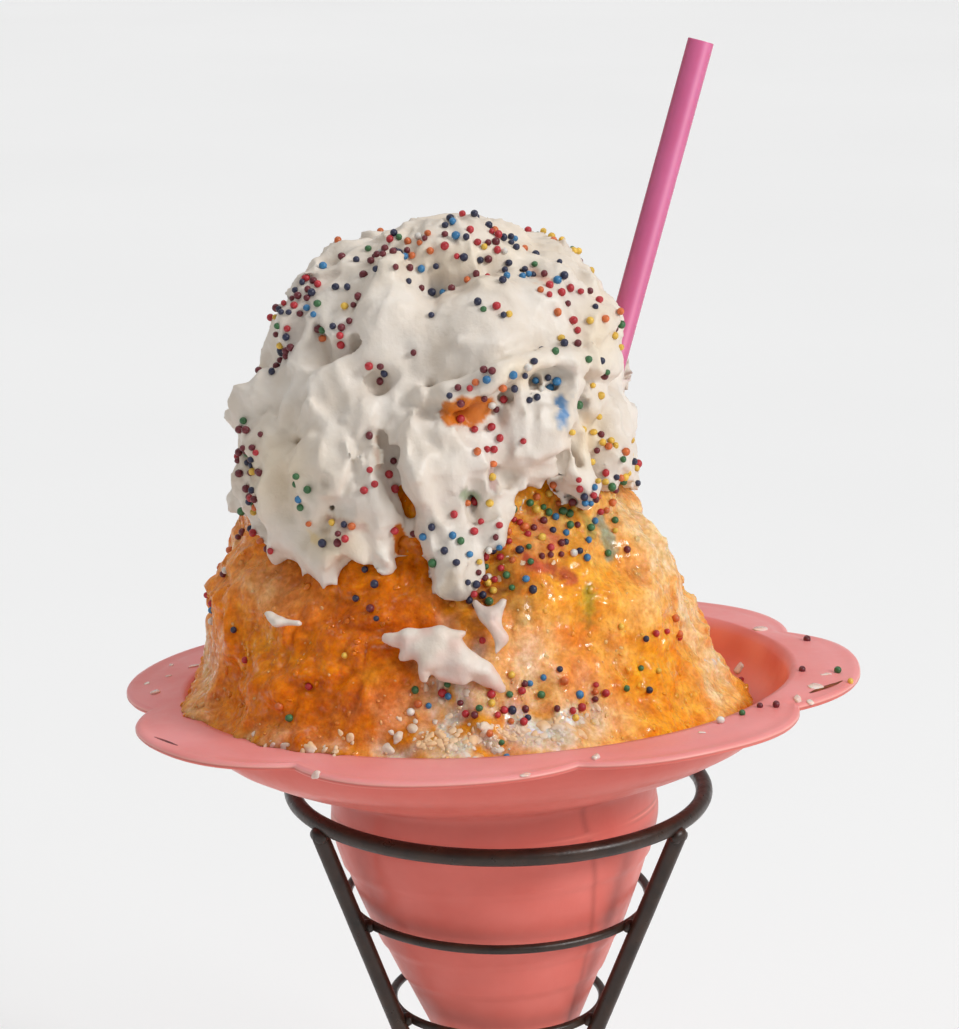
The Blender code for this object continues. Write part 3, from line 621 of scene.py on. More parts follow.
def ball(subdivisions):
    """Points and triangles of a unit icosphere."""
    bm = bmesh.new()
    bmesh.ops.create_icosphere(bm, subdivisions=subdivisions, radius=1.0)
    points = np.array([vertex.co for vertex in bm.verts])
    faces = np.array([[vertex.index for vertex in face.verts] for face in bm.faces])
    bm.free()
    return points, faces


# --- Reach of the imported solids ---
def solid_tree(node):
    mesh = frame["nodes"][node].data
    mesh.calc_loop_triangles()
    faces = [tuple(triangle.vertices) for triangle in mesh.loop_triangles]
    return tree_of(to_cup([vertex.co for vertex in mesh.vertices]), np.array(faces))


def reach_map(node, stations, columns):
    """How far a solid reaches from each station, by azimuth.

    A station is a place and how far a ray from it runs across and up.
    """
    tree = solid_tree(node)
    table = np.zeros((len(stations), columns))
    for row, (place, across, up) in enumerate(stations):
        for column in range(columns):
            out = level(2.0 * math.pi * column / columns) * across + UP * up
            hit, _, _, distance = tree.ray_cast(Vector(place + out * FAR), Vector(-out))
            if hit is not None and distance < FAR:
                table[row, column] = FAR - distance
    return table


def heap_map():
    """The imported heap's radius about HEAP_AXIS by height and azimuth, its facets smoothed."""
    heights = np.arange(HEAP_LOW, HEAP_HIGH + HEAP_STEP, HEAP_STEP)
    stations = [(np.array((*HEAP_AXIS, height)), 1.0, 0.0) for height in heights]
    table = reach_map("shaved_ice", stations, HEAP_COLUMNS)
    for _ in range(3):
        table = (np.roll(table, 1, 1) + 2.0 * table + np.roll(table, -1, 1)) / 4.0
    return table


def cream_map():
    """Distance from CREAM_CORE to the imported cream's outer side, by polar angle and azimuth."""
    polar = [math.pi * row / (CREAM_ROWS - 1) for row in range(CREAM_ROWS)]
    stations = [(np.array(CREAM_CORE), math.sin(turn), math.cos(turn)) for turn in polar]
    return reach_map("whipped_cream", stations, CREAM_COLUMNS)


def look_up(table, row, column):
    """Bilinear reading of a table whose columns run round."""
    row = np.clip(row, 0.0, table.shape[0] - 1.001)
    row_0 = row.astype(np.int64)
    column_0 = np.floor(column).astype(np.int64)
    share_row, share_column = row - row_0, column - column_0
    column_0 %= table.shape[1]
    column_1 = (column_0 + 1) % table.shape[1]
    low, high = (table[at, column_0] * (1 - share_column) + table[at, column_1] * share_column
                 for at in (row_0, row_0 + 1))
    return low * (1 - share_row) + high * share_row


def heap_radius(azimuth, height):
    row = (height - HEAP_LOW) / HEAP_STEP
    return look_up(heap_table, row, azimuth / (2.0 * math.pi) * HEAP_COLUMNS)


def above_heap(points):
    """How far points lie outside the heap's side, measured level."""
    out = points[:, :2] - np.array(HEAP_AXIS)
    radius = heap_radius(np.arctan2(out[:, 1], out[:, 0]), points[:, 2])
    return np.linalg.norm(out, axis=1) - np.where(points[:, 2] > HEAP_HIGH, 0.0, radius)


# --- Painted colours ---
def place_weight(points, places):
    weight = np.zeros(len(points))
    for x, height, wide, high, strength in places:
        away = ((points[:, 0] - x) / wide) ** 2 + ((points[:, 2] - height) / high) ** 2
        weight = np.maximum(weight, strength * np.exp(-away))
    return weight * smooth_step(12.0, -4.0, points[:, 1])


def add_dye(points, colours):
    """Dye that has run from sprinkles, mixed into colours with a share in the last column."""
    front = smooth_step(4.0, -8.0, points[:, 1])
    ragged = 0.7 * noise(points, 1.8, 93) + 0.4 * noise(points, 0.9, 94)
    flat = points[:, (0, 2)]
    for first, last, half, strength, colour in DYE_STREAKS:
        start, run = np.array(first), np.array(last) - np.array(first)
        share = np.clip((flat - start) @ run / (run @ run), 0.0, 1.0)
        away = np.linalg.norm(flat - start - share[:, None] * run, axis=1) / half
        weight = strength * front * smooth_step(1.5, 0.3, away + ragged)
        colours[:, :3] += (np.array(colour) - colours[:, :3]) * weight[:, None]
        colours[:, 3] = np.maximum(colours[:, 3], weight)
    return colours


def patchy(points, tint, least, most, low, high, size, seed):
    """A tint whose share runs from least up by most where the noise is high."""
    share = least + most * smooth_step(low, high, noise(points, size, seed))
    return np.column_stack([np.tile(tint, (len(points), 1)), share])


def cream_tint(points):
    """Syrup shows in the gaps between lobes and stains a few hollows; the same warm tint is painted as
    shade on the cream's lower left.
    """
    gap = smooth_step(0.40, 0.52, place_weight(points, GAP_PLACES) + 0.16 * noise(points, 1.6, 95))
    stain_and_shade = place_weight(points, STAIN_AND_SHADE_PLACES) * (1.0 - gap)
    behind = smooth_step(0.0, 12.0, points[:, 1]) * smooth_step(0.2, 0.8, noise(points, 9.0, 96))
    stain_and_shade = np.maximum(stain_and_shade, 0.3 * behind)
    total = np.maximum(gap + stain_and_shade, 1e-6)[:, None]
    colour = (GAP_SYRUP * gap[:, None] + STAIN_AND_SHADE * stain_and_shade[:, None]) / total
    return add_dye(points, np.column_stack([colour, np.clip(gap + stain_and_shade, 0.0, 1.0)]))


def ice_colour(points):
    """Syrup soaks the heap unevenly: deep orange to pale slush, white where cream ran in."""
    bent = points + 2.5 * noise_vectors(points, 6.0, 87)
    broad = noise(bent, 16.0, 90) + 0.6 * noise(bent, 7.0, 91)
    fine = noise(bent, 2.6, 92)
    behind = smooth_step(-2.0, 14.0, points[:, 1]) * smooth_step(0.1, 0.7, broad) * 0.8
    pale = place_weight(bent, PALE_PLACES) * (1.0 + 0.35 * broad + 0.4 * fine) + behind
    streaks = 0.5 + 0.9 * noise(bent * np.array((1.0, 1.0, 0.5)), 2.6, 88)
    white = place_weight(bent, WHITE_PLACES) * 1.3 * streaks
    dark = place_weight(points, DARK_PLACES) * (1.0 + 0.4 * broad)
    light = smooth_step(-0.5, 0.9, broad * 0.5 + fine * 0.6 + 0.012 * points[:, 0])
    colour = np.tile(SYRUP, (len(points), 1))
    for shade, weight in ((LIGHT_SYRUP, light), (DEEP_SYRUP, dark), (PALE_SLUSH, pale),
                          (WHITE_SLUSH, white)):
        colour += (shade - colour) * np.clip(weight, 0.0, 1.0)[:, None]
    return add_dye(points, np.column_stack([colour, np.clip(pale, 0.0, 1.0)]))


def cup_colour(points, quads):
    """Painted sheen on the up-facing petal tops, a painted highlight on their rounded edge, a wet inner
    wall and a thin dark line down the cone; the last column is the share.
    """
    upwards = vertex_normals(points, quads)[:, 2]
    reach = np.linalg.norm(points[:, :2], axis=1)
    height = points[:, 2]
    patches = noise(points, 12.0, 85)
    # Painted sheen where the petals face up.
    petal_sheen = 0.75 * smooth_step(60.0, 63.0, reach) * smooth_step(0.2, 0.7, upwards)
    petal_sheen *= 0.85 + 0.25 * patches
    # Painted highlight along the petals' rounded edge.
    edge = 0.8 * smooth_step(-0.3, 0.3, upwards) * smooth_step(0.95, 0.4, upwards)
    edge *= smooth_step(66.0, 68.0, reach)
    inside = (reach < 61.5) & (upwards > 0.1) & (height < 0.2)
    wall = 0.8 * inside * smooth_step(-0.8, 0.6, patches)
    # A thin dark line painted down the cone below the petals.
    slope = (DARK_LINE_LOW[1] - DARK_LINE_TOP[1]) / (DARK_LINE_LOW[0] - DARK_LINE_TOP[0])
    line = DARK_LINE_TOP[1] + (height - DARK_LINE_TOP[0]) * slope
    off = (np.arctan2(points[:, 1], points[:, 0]) - np.radians(line)) * reach
    dark_line = 0.5 * np.exp(-(off / 0.7) ** 2) * (height < -20.0) * ~inside
    colours = np.zeros((len(points), 4))
    for weight, colour in ((petal_sheen, PETAL_SHEEN), (edge, PETAL_EDGE_HIGHLIGHT), (wall, WET_WALL),
                           (dark_line, DARK_LINE_COLOUR)):
        weight = np.clip(weight, 0.0, 1.0)[:, None]
        under = colours[:, 3:] * (1.0 - weight)
        mixed = colour * weight + colours[:, :3] * under
        colours = np.hstack([mixed / np.maximum(weight + under, 1e-6), weight + under])
    return colours


def straw_colour(points, low, axis):
    """The strongest band of painted highlight and painted shade at each place round the straw."""
    away = points - low
    away = away - np.outer(away @ axis, axis)
    facing = np.degrees(np.arctan2(away[:, 1], away[:, 0]))
    colours = np.zeros((len(points), 4))
    for direction, half, strength, colour in STRAW_SHEEN_AND_SHADE:
        off = (facing - direction + 180.0) % 360.0 - 180.0
        weight = strength * np.exp(-(off / half) ** 2)
        stronger = weight > colours[:, 3]
        colours[stronger, :3] = colour
        colours[:, 3] = np.maximum(colours[:, 3], weight)
    return colours


# --- Materials ---
# Sockets of a Mix node set to colours: share, first and last colour, and the result.
MIX_SHARE, MIX_FIRST, MIX_LAST, MIX_RESULT = 0, 6, 7, 2


def millimetres(tree):
    """Object coordinates in millimetres."""
    place = tree.nodes.new("ShaderNodeTexCoord")
    scale = tree.nodes.new("ShaderNodeVectorMath")
    scale.operation = "SCALE"
    scale.inputs["Scale"].default_value = 1.0 / MM
    tree.links.new(place.outputs["Object"], scale.inputs[0])
    return scale.outputs["Vector"]


def noise_node(tree, place, size, detail, roughness=0.55):
    node = tree.nodes.new("ShaderNodeTexNoise")
    node.inputs["Scale"].default_value = 1.0 / size
    node.inputs["Detail"].default_value = detail
    node.inputs["Roughness"].default_value = roughness
    tree.links.new(place, node.inputs["Vector"])
    return node.outputs["Fac"]


def ramp(tree, place, size, detail, *stops):
    """Noise turned into colours; a stop is a position and a colour."""
    node = tree.nodes.new("ShaderNodeValToRGB")
    for element, (position, colour) in zip(node.color_ramp.elements, stops):
        element.position = position
        element.color = (*colour, 1.0)
    tree.links.new(noise_node(tree, place, size, detail), node.inputs["Fac"])
    return node.outputs["Color"]


def mix_colours(tree, blend, share, first, last):
    node = tree.nodes.new("ShaderNodeMix")
    node.data_type = "RGBA"
    node.blend_type = blend
    if share is None:
        node.inputs[MIX_SHARE].default_value = 1.0
    else:
        tree.links.new(share, node.inputs[MIX_SHARE])
    tree.links.new(first, node.inputs[MIX_FIRST])
    tree.links.new(last, node.inputs[MIX_LAST])
    return node.outputs[MIX_RESULT]


def vary(tree, place, socket, size, detail, low, high):
    """Noise whose usual range is carried onto low to high."""
    node = tree.nodes.new("ShaderNodeMapRange")
    for key, value in (("From Min", 0.3), ("From Max", 0.7), ("To Min", low), ("To Max", high)):
        node.inputs[key].default_value = value
    tree.links.new(noise_node(tree, place, size, detail), node.inputs["Value"])
    tree.links.new(node.outputs["Result"], socket)


def add_bump(tree, place, shader, depth, *texture):
    node = tree.nodes.new("ShaderNodeBump")
    node.inputs["Strength"].default_value = 1.0
    node.inputs["Distance"].default_value = depth * MM
    tree.links.new(noise_node(tree, place, *texture), node.inputs["Height"])
    tree.links.new(node.outputs["Normal"], shader.inputs["Normal"])


def base_colour(tree, place, cloud, paint, mottles):
    """Clouded colour, painted over where there is paint, then mottled."""
    colour = ramp(tree, place, *cloud) if cloud else None
    if paint:
        node = tree.nodes.new("ShaderNodeAttribute")
        node.attribute_name = paint
        painted = node.outputs["Color"]
        colour = mix_colours(tree, "MIX", node.outputs["Alpha"], colour, painted) if cloud else painted
    for mottle in mottles:
        colour = mix_colours(tree, "MULTIPLY", None, colour, ramp(tree, place, *mottle))
    return colour


def surface(name, cloud=None, paint=None, mottles=(), rough=None, glints=None, bump=None, **values):
    """A Principled material with clouded or painted colour, mottled, and an uneven gloss.

    Clouds and mottles hold a noise's size and detail and two stops; rough and glints its
    size and the values it runs between; bump its depth, size and detail.
    """
    material = bpy.data.materials.new(name)
    material.use_nodes = True
    tree = material.node_tree
    shader = tree.nodes["Principled BSDF"]
    for key, value in values.items():
        shader.inputs[key.replace("_", " ").title().replace("Ior", "IOR")].default_value = value
    place = millimetres(tree)
    tree.links.new(base_colour(tree, place, cloud, paint, mottles), shader.inputs["Base Color"])
    if rough:
        vary(tree, place, shader.inputs["Roughness"], rough[0], 3.0, *rough[1:])
    if glints:
        vary(tree, place, shader.inputs["Coat Weight"], glints[0], 2.0, *glints[1:])
    if bump:
        add_bump(tree, place, shader, *bump)
    return material


def cream_material():
    return surface("whipped_cream", (9.0, 3.0, (0.3, (0.69, 0.60, 0.505)), (0.7, (0.79, 0.73, 0.66))),
                   "tint", rough=(3.0, 0.38, 0.55), bump=(0.12, 0.8, 4.0), subsurface_weight=0.10,
                   subsurface_scale=0.002, subsurface_radius=(1.0, 0.8, 0.6))


def ice_material():
    grain = (0.9, 4.0, (0.3, (0.84, 0.76, 0.65)), (0.7, (1.16, 1.22, 1.35)))
    clumps = (2.6, 2.0, (0.35, (0.86, 0.76, 0.6)), (0.65, (1.10, 1.16, 1.3)))
    return surface("syrup_ice", None, "syrup", (grain, clumps), (1.6, 0.22, 0.5), (1.1, -0.8, 1.0),
                   (0.2, 0.8, 4.0, 0.6), subsurface_weight=0.65, subsurface_scale=0.004,
                   subsurface_radius=(1.0, 0.45, 0.15), coat_roughness=0.08, specular_ior_level=0.12)


def crystal_material():
    grain = (1.2, 3.0, (0.3, (0.9, 0.86, 0.8)), (0.7, (1.1, 1.1, 1.1)))
    return surface("ice_crystal", None, "syrup", (grain,), (0.8, 0.08, 0.3), subsurface_weight=0.4,
                   subsurface_scale=0.002, subsurface_radius=(1.0, 0.45, 0.15), coat_weight=0.5,
                   coat_roughness=0.05, specular_ior_level=0.2)


def plastic_material():
    cloud = (22.0, 4.0, (0.3, (0.685, 0.140, 0.108)), (0.7, (0.775, 0.190, 0.155)))
    # Its paint holds painted sheen and highlight on the petals as well as the wet inner wall.
    return surface("pink_plastic", cloud, "wet_and_sheen", rough=(3.0, 0.28, 0.42), bump=(0.03, 1.2, 3.0),
                   subsurface_weight=0.12, subsurface_scale=0.003,
                   subsurface_radius=(1.0, 0.3, 0.2), specular_ior_level=0.22)


def straw_material():
    cloud = (14.0, 4.0, (0.3, (0.62, 0.115, 0.265)), (0.7, (0.70, 0.155, 0.33)))
    # The straw's painted highlight and shade bands come in through its paint.
    return surface("straw_plastic", cloud, "sheen_and_shade", rough=(4.0, 0.14, 0.24), bump=(0.03, 2.5, 3.0),
                   subsurface_weight=0.15, subsurface_scale=0.002)


def wire_material():
    cloud = (5.0, 5.0, (0.3, (0.016, 0.008, 0.005)), (0.7, (0.042, 0.021, 0.012)))
    return surface("coated_wire", cloud, rough=(2.0, 0.26, 0.45), bump=(0.06, 1.0, 4.0),
                   specular_ior_level=0.45)


def sprinkle_material(name, colour):
    dark = tuple(0.72 * value for value in colour)
    light = tuple(min(1.0, 1.2 * value + 0.01) for value in colour)
    return surface("sprinkle_" + name, (1.5, 3.0, (0.3, dark), (0.7, light)), rough=(0.8, 0.25, 0.45),
                   subsurface_weight=0.05, subsurface_scale=0.0005)


def drop_material():
    cloud = (2.5, 3.0, (0.3, (0.80, 0.50, 0.42)), (0.7, (0.86, 0.74, 0.66)))
    return surface("milky_drop", cloud, rough=(1.5, 0.15, 0.35), subsurface_weight=0.2,
                   subsurface_scale=0.001, coat_weight=0.5, coat_roughness=0.06)


def slit_shade_material(name, colour):
    # A flat sheet painted with the shade of the slit's hollow, darker at random.
    dark = tuple(0.35 * value for value in colour)
    return surface(name + "_painted_shade", (1.6, 4.0, (0.35, dark), (0.65, colour)), rough=(1.0, 0.4, 0.7),
                   specular_ior_level=0.15)


def floor_material():
    cloud = (400.0, 3.0, (0.3, (0.95, 0.95, 0.95)), (0.7, (0.97, 0.97, 0.97)))
    return surface("pale_floor", cloud, roughness=0.8, specular_ior_level=0.2)


# --- Whipped cream ---
def blend_min(a, b, width):
    """The smaller of two fields, with a rounded join width across."""
    share = np.clip(0.5 + 0.5 * (b - a) / width, 0.0, 1.0)
    return b + (a - b) * share - width * share * (1.0 - share)


def rod_field(points, first, last):
    """Distance from a rod whose radius runs from one end's to the other's."""
    run = last[:3] - first[:3]
    share = np.clip((points - first[:3]) @ run / max(run @ run, 1e-9), 0.0, 1.0)
    radius = first[3] + (last[3] - first[3]) * share
    return np.linalg.norm(points - first[:3] - share[..., None] * run, axis=-1) - radius


def sunk(strokes, depth):
    """Strokes moved towards the cream's core, so that they dig in."""
    moved = []
    for name, *stops in strokes:
        ends = np.array(stops, float)
        inwards = np.array(CREAM_CORE) - ends[:, :3]
        ends[:, :3] += inwards / np.linalg.norm(inwards, axis=1, keepdims=True) * depth
        moved.append((name, *ends))
    return moved


def add_strokes(field, places, axes, strokes, width, sign=1.0):
    """Joins strokes to a field, or digs them out with sign -1; each touches only its block."""
    for _, *stops in strokes:
        for ends in zip(np.array(stops, float), np.array(stops[1:], float)):
            room = max(end[3] for end in ends) + STROKE_ROOM + width
            low, high = np.min(ends, axis=0) - room, np.max(ends, axis=0) + room
            block = tuple(slice(*np.searchsorted(axes[axis], (low[axis], high[axis])))
                          for axis in range(3))
            field[block] = sign * blend_min(sign * field[block], rod_field(places[block], *ends), width)


def sculpt(low, high, step, strokes, pits, warp, seed, base=None):
    """A field on a grid: strokes joined over a base, with pits dug out of them."""
    axes = [np.arange(low[axis], high[axis] + step, step) for axis in range(3)]
    grid = np.stack(np.meshgrid(*axes, indexing="ij"), axis=-1)
    flat = grid.reshape(-1, 3)
    places = grid + (warp[1] * noise_vectors(flat, warp[0], seed)).reshape(grid.shape)
    field = base(flat).reshape(grid.shape[:3]) if base else np.full(grid.shape[:3], 9.0)
    add_strokes(field, places, axes, strokes, LOBE_BLEND)
    add_strokes(field, places, axes, pits, PIT_BLEND, -1.0)
    return field, grid


def cream_base(points):
    """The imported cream's body, drawn in so that the strokes stand proud of it."""
    away = points - np.array(CREAM_CORE)
    reach = np.linalg.norm(away, axis=1)
    polar = np.arccos(np.clip(away[:, 2] / np.maximum(reach, 1e-9), -1.0, 1.0))
    azimuth = np.arctan2(away[:, 1], away[:, 0])
    surface_reach = look_up(cream_table, polar / math.pi * (CREAM_ROWS - 1),
                            azimuth / (2 * math.pi) * CREAM_COLUMNS)
    front = smooth_step(0.0, -12.0, points[:, 1])
    return reach - surface_reach + CREAM_INSET + CREAM_FRONT_INSET * front


def cream_folds(points):
    """Crisp crests, soft hollows and folds that run down, weaker on the smooth swoop in front."""
    bend = noise_vectors(points, 13.0, 30)
    places = points + 3.5 * bend
    crest = ridges(places, 12.0, 40, 2.2)
    fine = ridges(places, 5.5, 41)
    away = points - np.array(CREAM_CORE)
    reach = np.linalg.norm(away[:, :2], axis=1, keepdims=True)
    around = np.concatenate([away[:, :2] / np.maximum(reach, 1e-6) * 28.0, away[:, 2:] * 0.32], axis=1)
    hanging = ridges(around + 2.2 * bend, 4.8, 42, 2.2) * smooth_step(6.0, 16.0, reach[:, 0])
    from_swoop = (points - np.array(SWOOP_CENTRE)) / np.array(SWOOP_REACH)
    calm = smooth_step(0.6, 1.3, np.linalg.norm(from_swoop, axis=1))
    thin = ridges(places + 0.8 * noise_vectors(points, 4.0, 33), 3.2, 43)
    return (0.2 + 0.8 * calm) * (1.5 * crest + fine + hanging) + (0.12 + 0.38 * calm) * thin


def cream_mesh():
    pits = sunk(PITS, PIT_DEPTH) + sunk(SEAMS, SEAM_DEPTH)
    field, grid = sculpt(CREAM_LOW, CREAM_HIGH, CREAM_STEP, FRONT_LOBES + BACK_LOBES, pits,
                         (11.0, 1.3), 0, cream_base)
    near = np.abs(field) < 4.0
    field[near] -= cream_folds(grid[near]) - 0.4
    for part in (near, ~near & (field < 0.0)):
        field[part] = np.maximum(field[part], -(above_heap(grid[part]) + CREAM_UNDER_ICE))
    points, faces = surface_nets(field, np.array(CREAM_LOW), CREAM_STEP)
    relief = 0.16 * noise(points, 2.6, 50) + 0.06 * noise(points, 1.3, 51)
    return points + vertex_normals(points, faces) * relief[:, None], faces


def build_smears(material):
    for node, lobes in SMEAR_LOBES.items():
        stops = np.array([stop for _, *row in lobes for stop in row], float)
        low, high = stops[:, :3].min(0) - SMEAR_ROOM, stops[:, :3].max(0) + SMEAR_ROOM
        field, grid = sculpt(low, high, SMEAR_STEP, lobes, (), (4.0, 0.9), 200)
        ragged = noise(grid.reshape(-1, 3), 2.2, 201).reshape(field.shape)
        points, faces = surface_nets(field + SMEAR_RAGGEDNESS * ragged, low, SMEAR_STEP)
        tint = patchy(points, SMEAR_TINT, 0.08, 0.6, -0.3, 0.7, 2.6, 202)
        make_piece(node.replace("cream_", "piece_"), points, faces, material, "whipped_cream",
                   [node], ("tint", add_dye(points, tint)))


# --- Ice ---
def ice_relief(points):
    """Lumps, packed chunks, grains and soft slushy places of the heap's side."""
    places = points + 1.6 * noise_vectors(points, 5.0, 60)
    lumps = 1.8 * noise(places, 10.0, 61) + 1.1 * noise(places, 5.0, 62)
    chunks = smooth_step(0.0, 0.6, cell_walls(places, 5.2, 66))
    grains = 0.55 * np.clip(cell_walls(places, 1.9, 63), 0.0, 0.5)
    rough = smooth_step(-0.4, 0.5, noise(points, 11.0, 64))
    fine = grains + 0.16 * noise(points, 1.1, 65)
    return lumps + (0.3 + 0.7 * rough) * chunks - 0.6 + (0.45 + 0.55 * rough) * fine


def foot_spread(turn, height):
    """The ice swells over the rim's inner edge, except at the open pocket on the right."""
    from_pocket = np.abs((np.degrees(turn) - POCKET_AZIMUTH + 180.0) % 360.0 - 180.0)
    return 2.4 * np.exp(-((height + 1.0) / 4.5) ** 2) * smooth_step(38.0, 62.0, from_pocket)


def keep_in_cup(points):
    """Ice below the rim reaches just into the cup's wall, and no further."""
    reach = np.linalg.norm(points[:, :2], axis=1)
    inner = inset_profile(WALL * 0.75)
    limit = np.interp(points[:, 2], inner[:, 1], inner[:, 0])
    share = np.where(points[:, 2] < 0.0, np.minimum(1.0, limit / np.maximum(reach, 1e-9)), 1.0)
    return points * np.column_stack([share, share, np.ones_like(share)])


def ice_mesh():
    """Rows round HEAP_AXIS from the foot up, coarser under the cream."""
    heights = np.concatenate([np.arange(ICE_FOOT, ICE_FINE_TOP, ICE_ROW_STEP),
                              np.linspace(ICE_FINE_TOP, HEAP_HIGH - 1.5, 12)])
    azimuth = np.arange(ICE_COLUMNS) * 2.0 * math.pi / ICE_COLUMNS
    height, turn = (values.ravel() for values in np.meshgrid(heights, azimuth, indexing="ij"))
    under_cream = CREAM_PRESS * smooth_step(30.0, 44.0, height)
    radius = heap_radius(turn, height) + foot_spread(turn, height) - under_cream
    out = level(turn)
    points = np.array((*HEAP_AXIS, 0.0)) + radius[:, None] * out + height[:, None] * UP
    points += (out + UP * 0.45) * (ice_relief(points) - 0.5)[:, None]
    return close_grid(keep_in_cup(points), ICE_COLUMNS, (0.0, 0.0, ICE_FOOT),
                      (*HEAP_AXIS, HEAP_HIGH - 0.5))


def lie_along(normal, random):
    """Rows: two level directions of a random spin, then the normal."""
    side = np.cross(normal, random.normal(size=3))
    side /= np.linalg.norm(side)
    return np.stack([side, np.cross(normal, side), normal])


def lump(shape, spot, normal, half, flatness, random, least=0.6, dents=(0.35, 1.2, 1.0, 98)):
    """A ball stretched and dented, lying along a surface; dents vary with the spot."""
    depth, scale, size, seed = dents
    stretch = random.uniform(least, 1.3, 3) * np.array((1.0, 1.0, flatness))
    rough = shape * (1.0 + depth * noise(shape * scale + spot, size, seed))[:, None]
    return (rough * stretch * half) @ lie_along(normal, random)


def scatter_on(points, faces, count, random):
    """Random places on a mesh's faces, even by area, with the faces' normals."""
    corners = points[faces]
    across = np.cross(corners[:, 2] - corners[:, 0], corners[:, 3] - corners[:, 1]) / 2.0
    area = np.linalg.norm(across, axis=1)
    chosen = random.choice(len(faces), count, p=area / area.sum())
    share = random.uniform(0.0, 1.0, (count, 2))
    low = corners[chosen, 0] * (1 - share[:, :1]) + corners[chosen, 1] * share[:, :1]
    high = corners[chosen, 3] * (1 - share[:, :1]) + corners[chosen, 2] * share[:, :1]
    return low * (1 - share[:, 1:]) + high * share[:, 1:], across[chosen] / area[chosen, None]


def build_crystals(ice_points, ice_quads, material):
    shape, faces = ball(2)
    random = np.random.default_rng(SEED + 2)
    open_quads = ice_quads[ice_points[ice_quads].mean(axis=1)[:, 2] < CRYSTAL_TOP]
    for name, count, least, most, pale in CRYSTALS:
        spots, normals = scatter_on(ice_points, open_quads, count, random)
        sizes = least + (most - least) * random.beta(1.4, 3.0, count)
        shapes = []
        for spot, normal, half in zip(spots, normals, sizes):
            crystal = lump(shape, spot, normal, half, CRYSTAL_FLATNESS, random, 0.55,
                           (0.28, 1.0, 0.9, 97))
            shapes.append((spot - normal * half * 0.25 + crystal, faces))
        points, all_faces = join(shapes)
        colours = ice_colour(points)
        colours[:, :3] = colours[:, :3] * (1 - pale) + CRYSTAL_TINT * pale
        make_piece(name, points, all_faces, material, "syrup_ice", paint=("syrup", colours))


def build_cream_bits(ice_tree, material):
    shape, faces = ball(3)
    random = np.random.default_rng(SEED + 3)
    shapes = []
    for x, height, wide, high, count in CREAM_BITS:
        for _ in range(count):
            place = (x + wide * random.normal() * SCATTER, -FAR,
                     height + high * random.normal() * SCATTER)
            spot, normal, _, _ = ice_tree.ray_cast(Vector(place), Vector((0.0, 1.0, 0.0)))
            if spot is not None and spot.z > 0.3:
                half = 0.35 + 1.25 * random.beta(1.0, 3.0)
                normal = np.array(normal)
                inside = np.array(spot) - normal * half * 0.3
                shapes.append((inside + lump(shape, inside, normal, half, 0.6, random), faces))
    points, all_faces = join(shapes)
    tint = patchy(points, BIT_TINT, 0.2, 0.7, -0.5, 0.5, 3.0, 99)
    make_piece("cream_bits", points, all_faces, material, "whipped_cream", paint=("tint", tint))


# --- Cup ---
def inset_profile(distance):
    """The cup's profile moved inwards by a distance, level with its own points."""
    points = np.array(CUP_PROFILE)
    run = np.concatenate([points[1:2] - points[:1], points[2:] - points[:-2], points[-1:] - points[-2:-1]])
    normal = np.column_stack([-run[:, 1], run[:, 0]]) / np.linalg.norm(run, axis=1, keepdims=True)
    return points + normal * distance


def round_corners(points, passes=2):
    """Corners cut by quarters, which rounds a run of points."""
    points = np.array(points, float)
    for _ in range(passes):
        near = points[:-1] * 0.75 + points[1:] * 0.25
        far = points[:-1] * 0.25 + points[1:] * 0.75
        middle = np.stack([near, far], axis=1).reshape(-1, points.shape[1])
        points = np.concatenate([points[:1], middle, points[-1:]])
    return points


def resample(points, step):
    run = np.concatenate([[0.0], np.cumsum(np.linalg.norm(np.diff(points, axis=0), axis=1))])
    places = np.linspace(0.0, run[-1], max(2, int(run[-1] / step) + 1))
    return np.column_stack([np.interp(places, run, column) for column in points.T])


def petal_outline(turn):
    """Azimuth and radius of the rim's outline; turn runs from 0 to 1 round the cup."""
    across = (turn * PETALS) % 1.0 * 2.0 - 1.0
    azimuth = NOTCH_AZIMUTH + turn * 2.0 * math.pi
    azimuth = azimuth - PETAL_CROWDING * np.sin(azimuth + math.pi / 2.0)
    reach = 1.0 - np.abs(across) ** PETAL_ROUNDNESS
    return azimuth, NOTCH_RADIUS + (PETAL_RADIUS - NOTCH_RADIUS) * reach


def flange_rows(outline, wave):
    """Rows out under the petals, round their bead and back over them, with a faint groove."""
    rows = []
    for share in FLANGE_SHARES:
        rows.append((OPENING_RADIUS + share * (outline - OPENING_RADIUS - 0.5),
                     -0.5 - PETAL_DROP * share ** 2 + wave * share ** 3))
    for angle in np.radians(BEAD_ANGLES):
        rows.append((outline - BEAD_RADIUS + BEAD_RADIUS * math.cos(angle),
                     -PETAL_DROP - 0.35 + BEAD_RADIUS * math.sin(angle) + wave))
    for share in reversed(FLANGE_SHARES):
        groove = 0.25 * np.exp(-((share - 0.8) / 0.08) ** 2)
        rows.append((OPENING_RADIUS - WALL + share * (outline - OPENING_RADIUS - 0.7 + WALL),
                     0.35 - PETAL_DROP * share ** 2 + wave * share ** 3 - groove))
    return rows


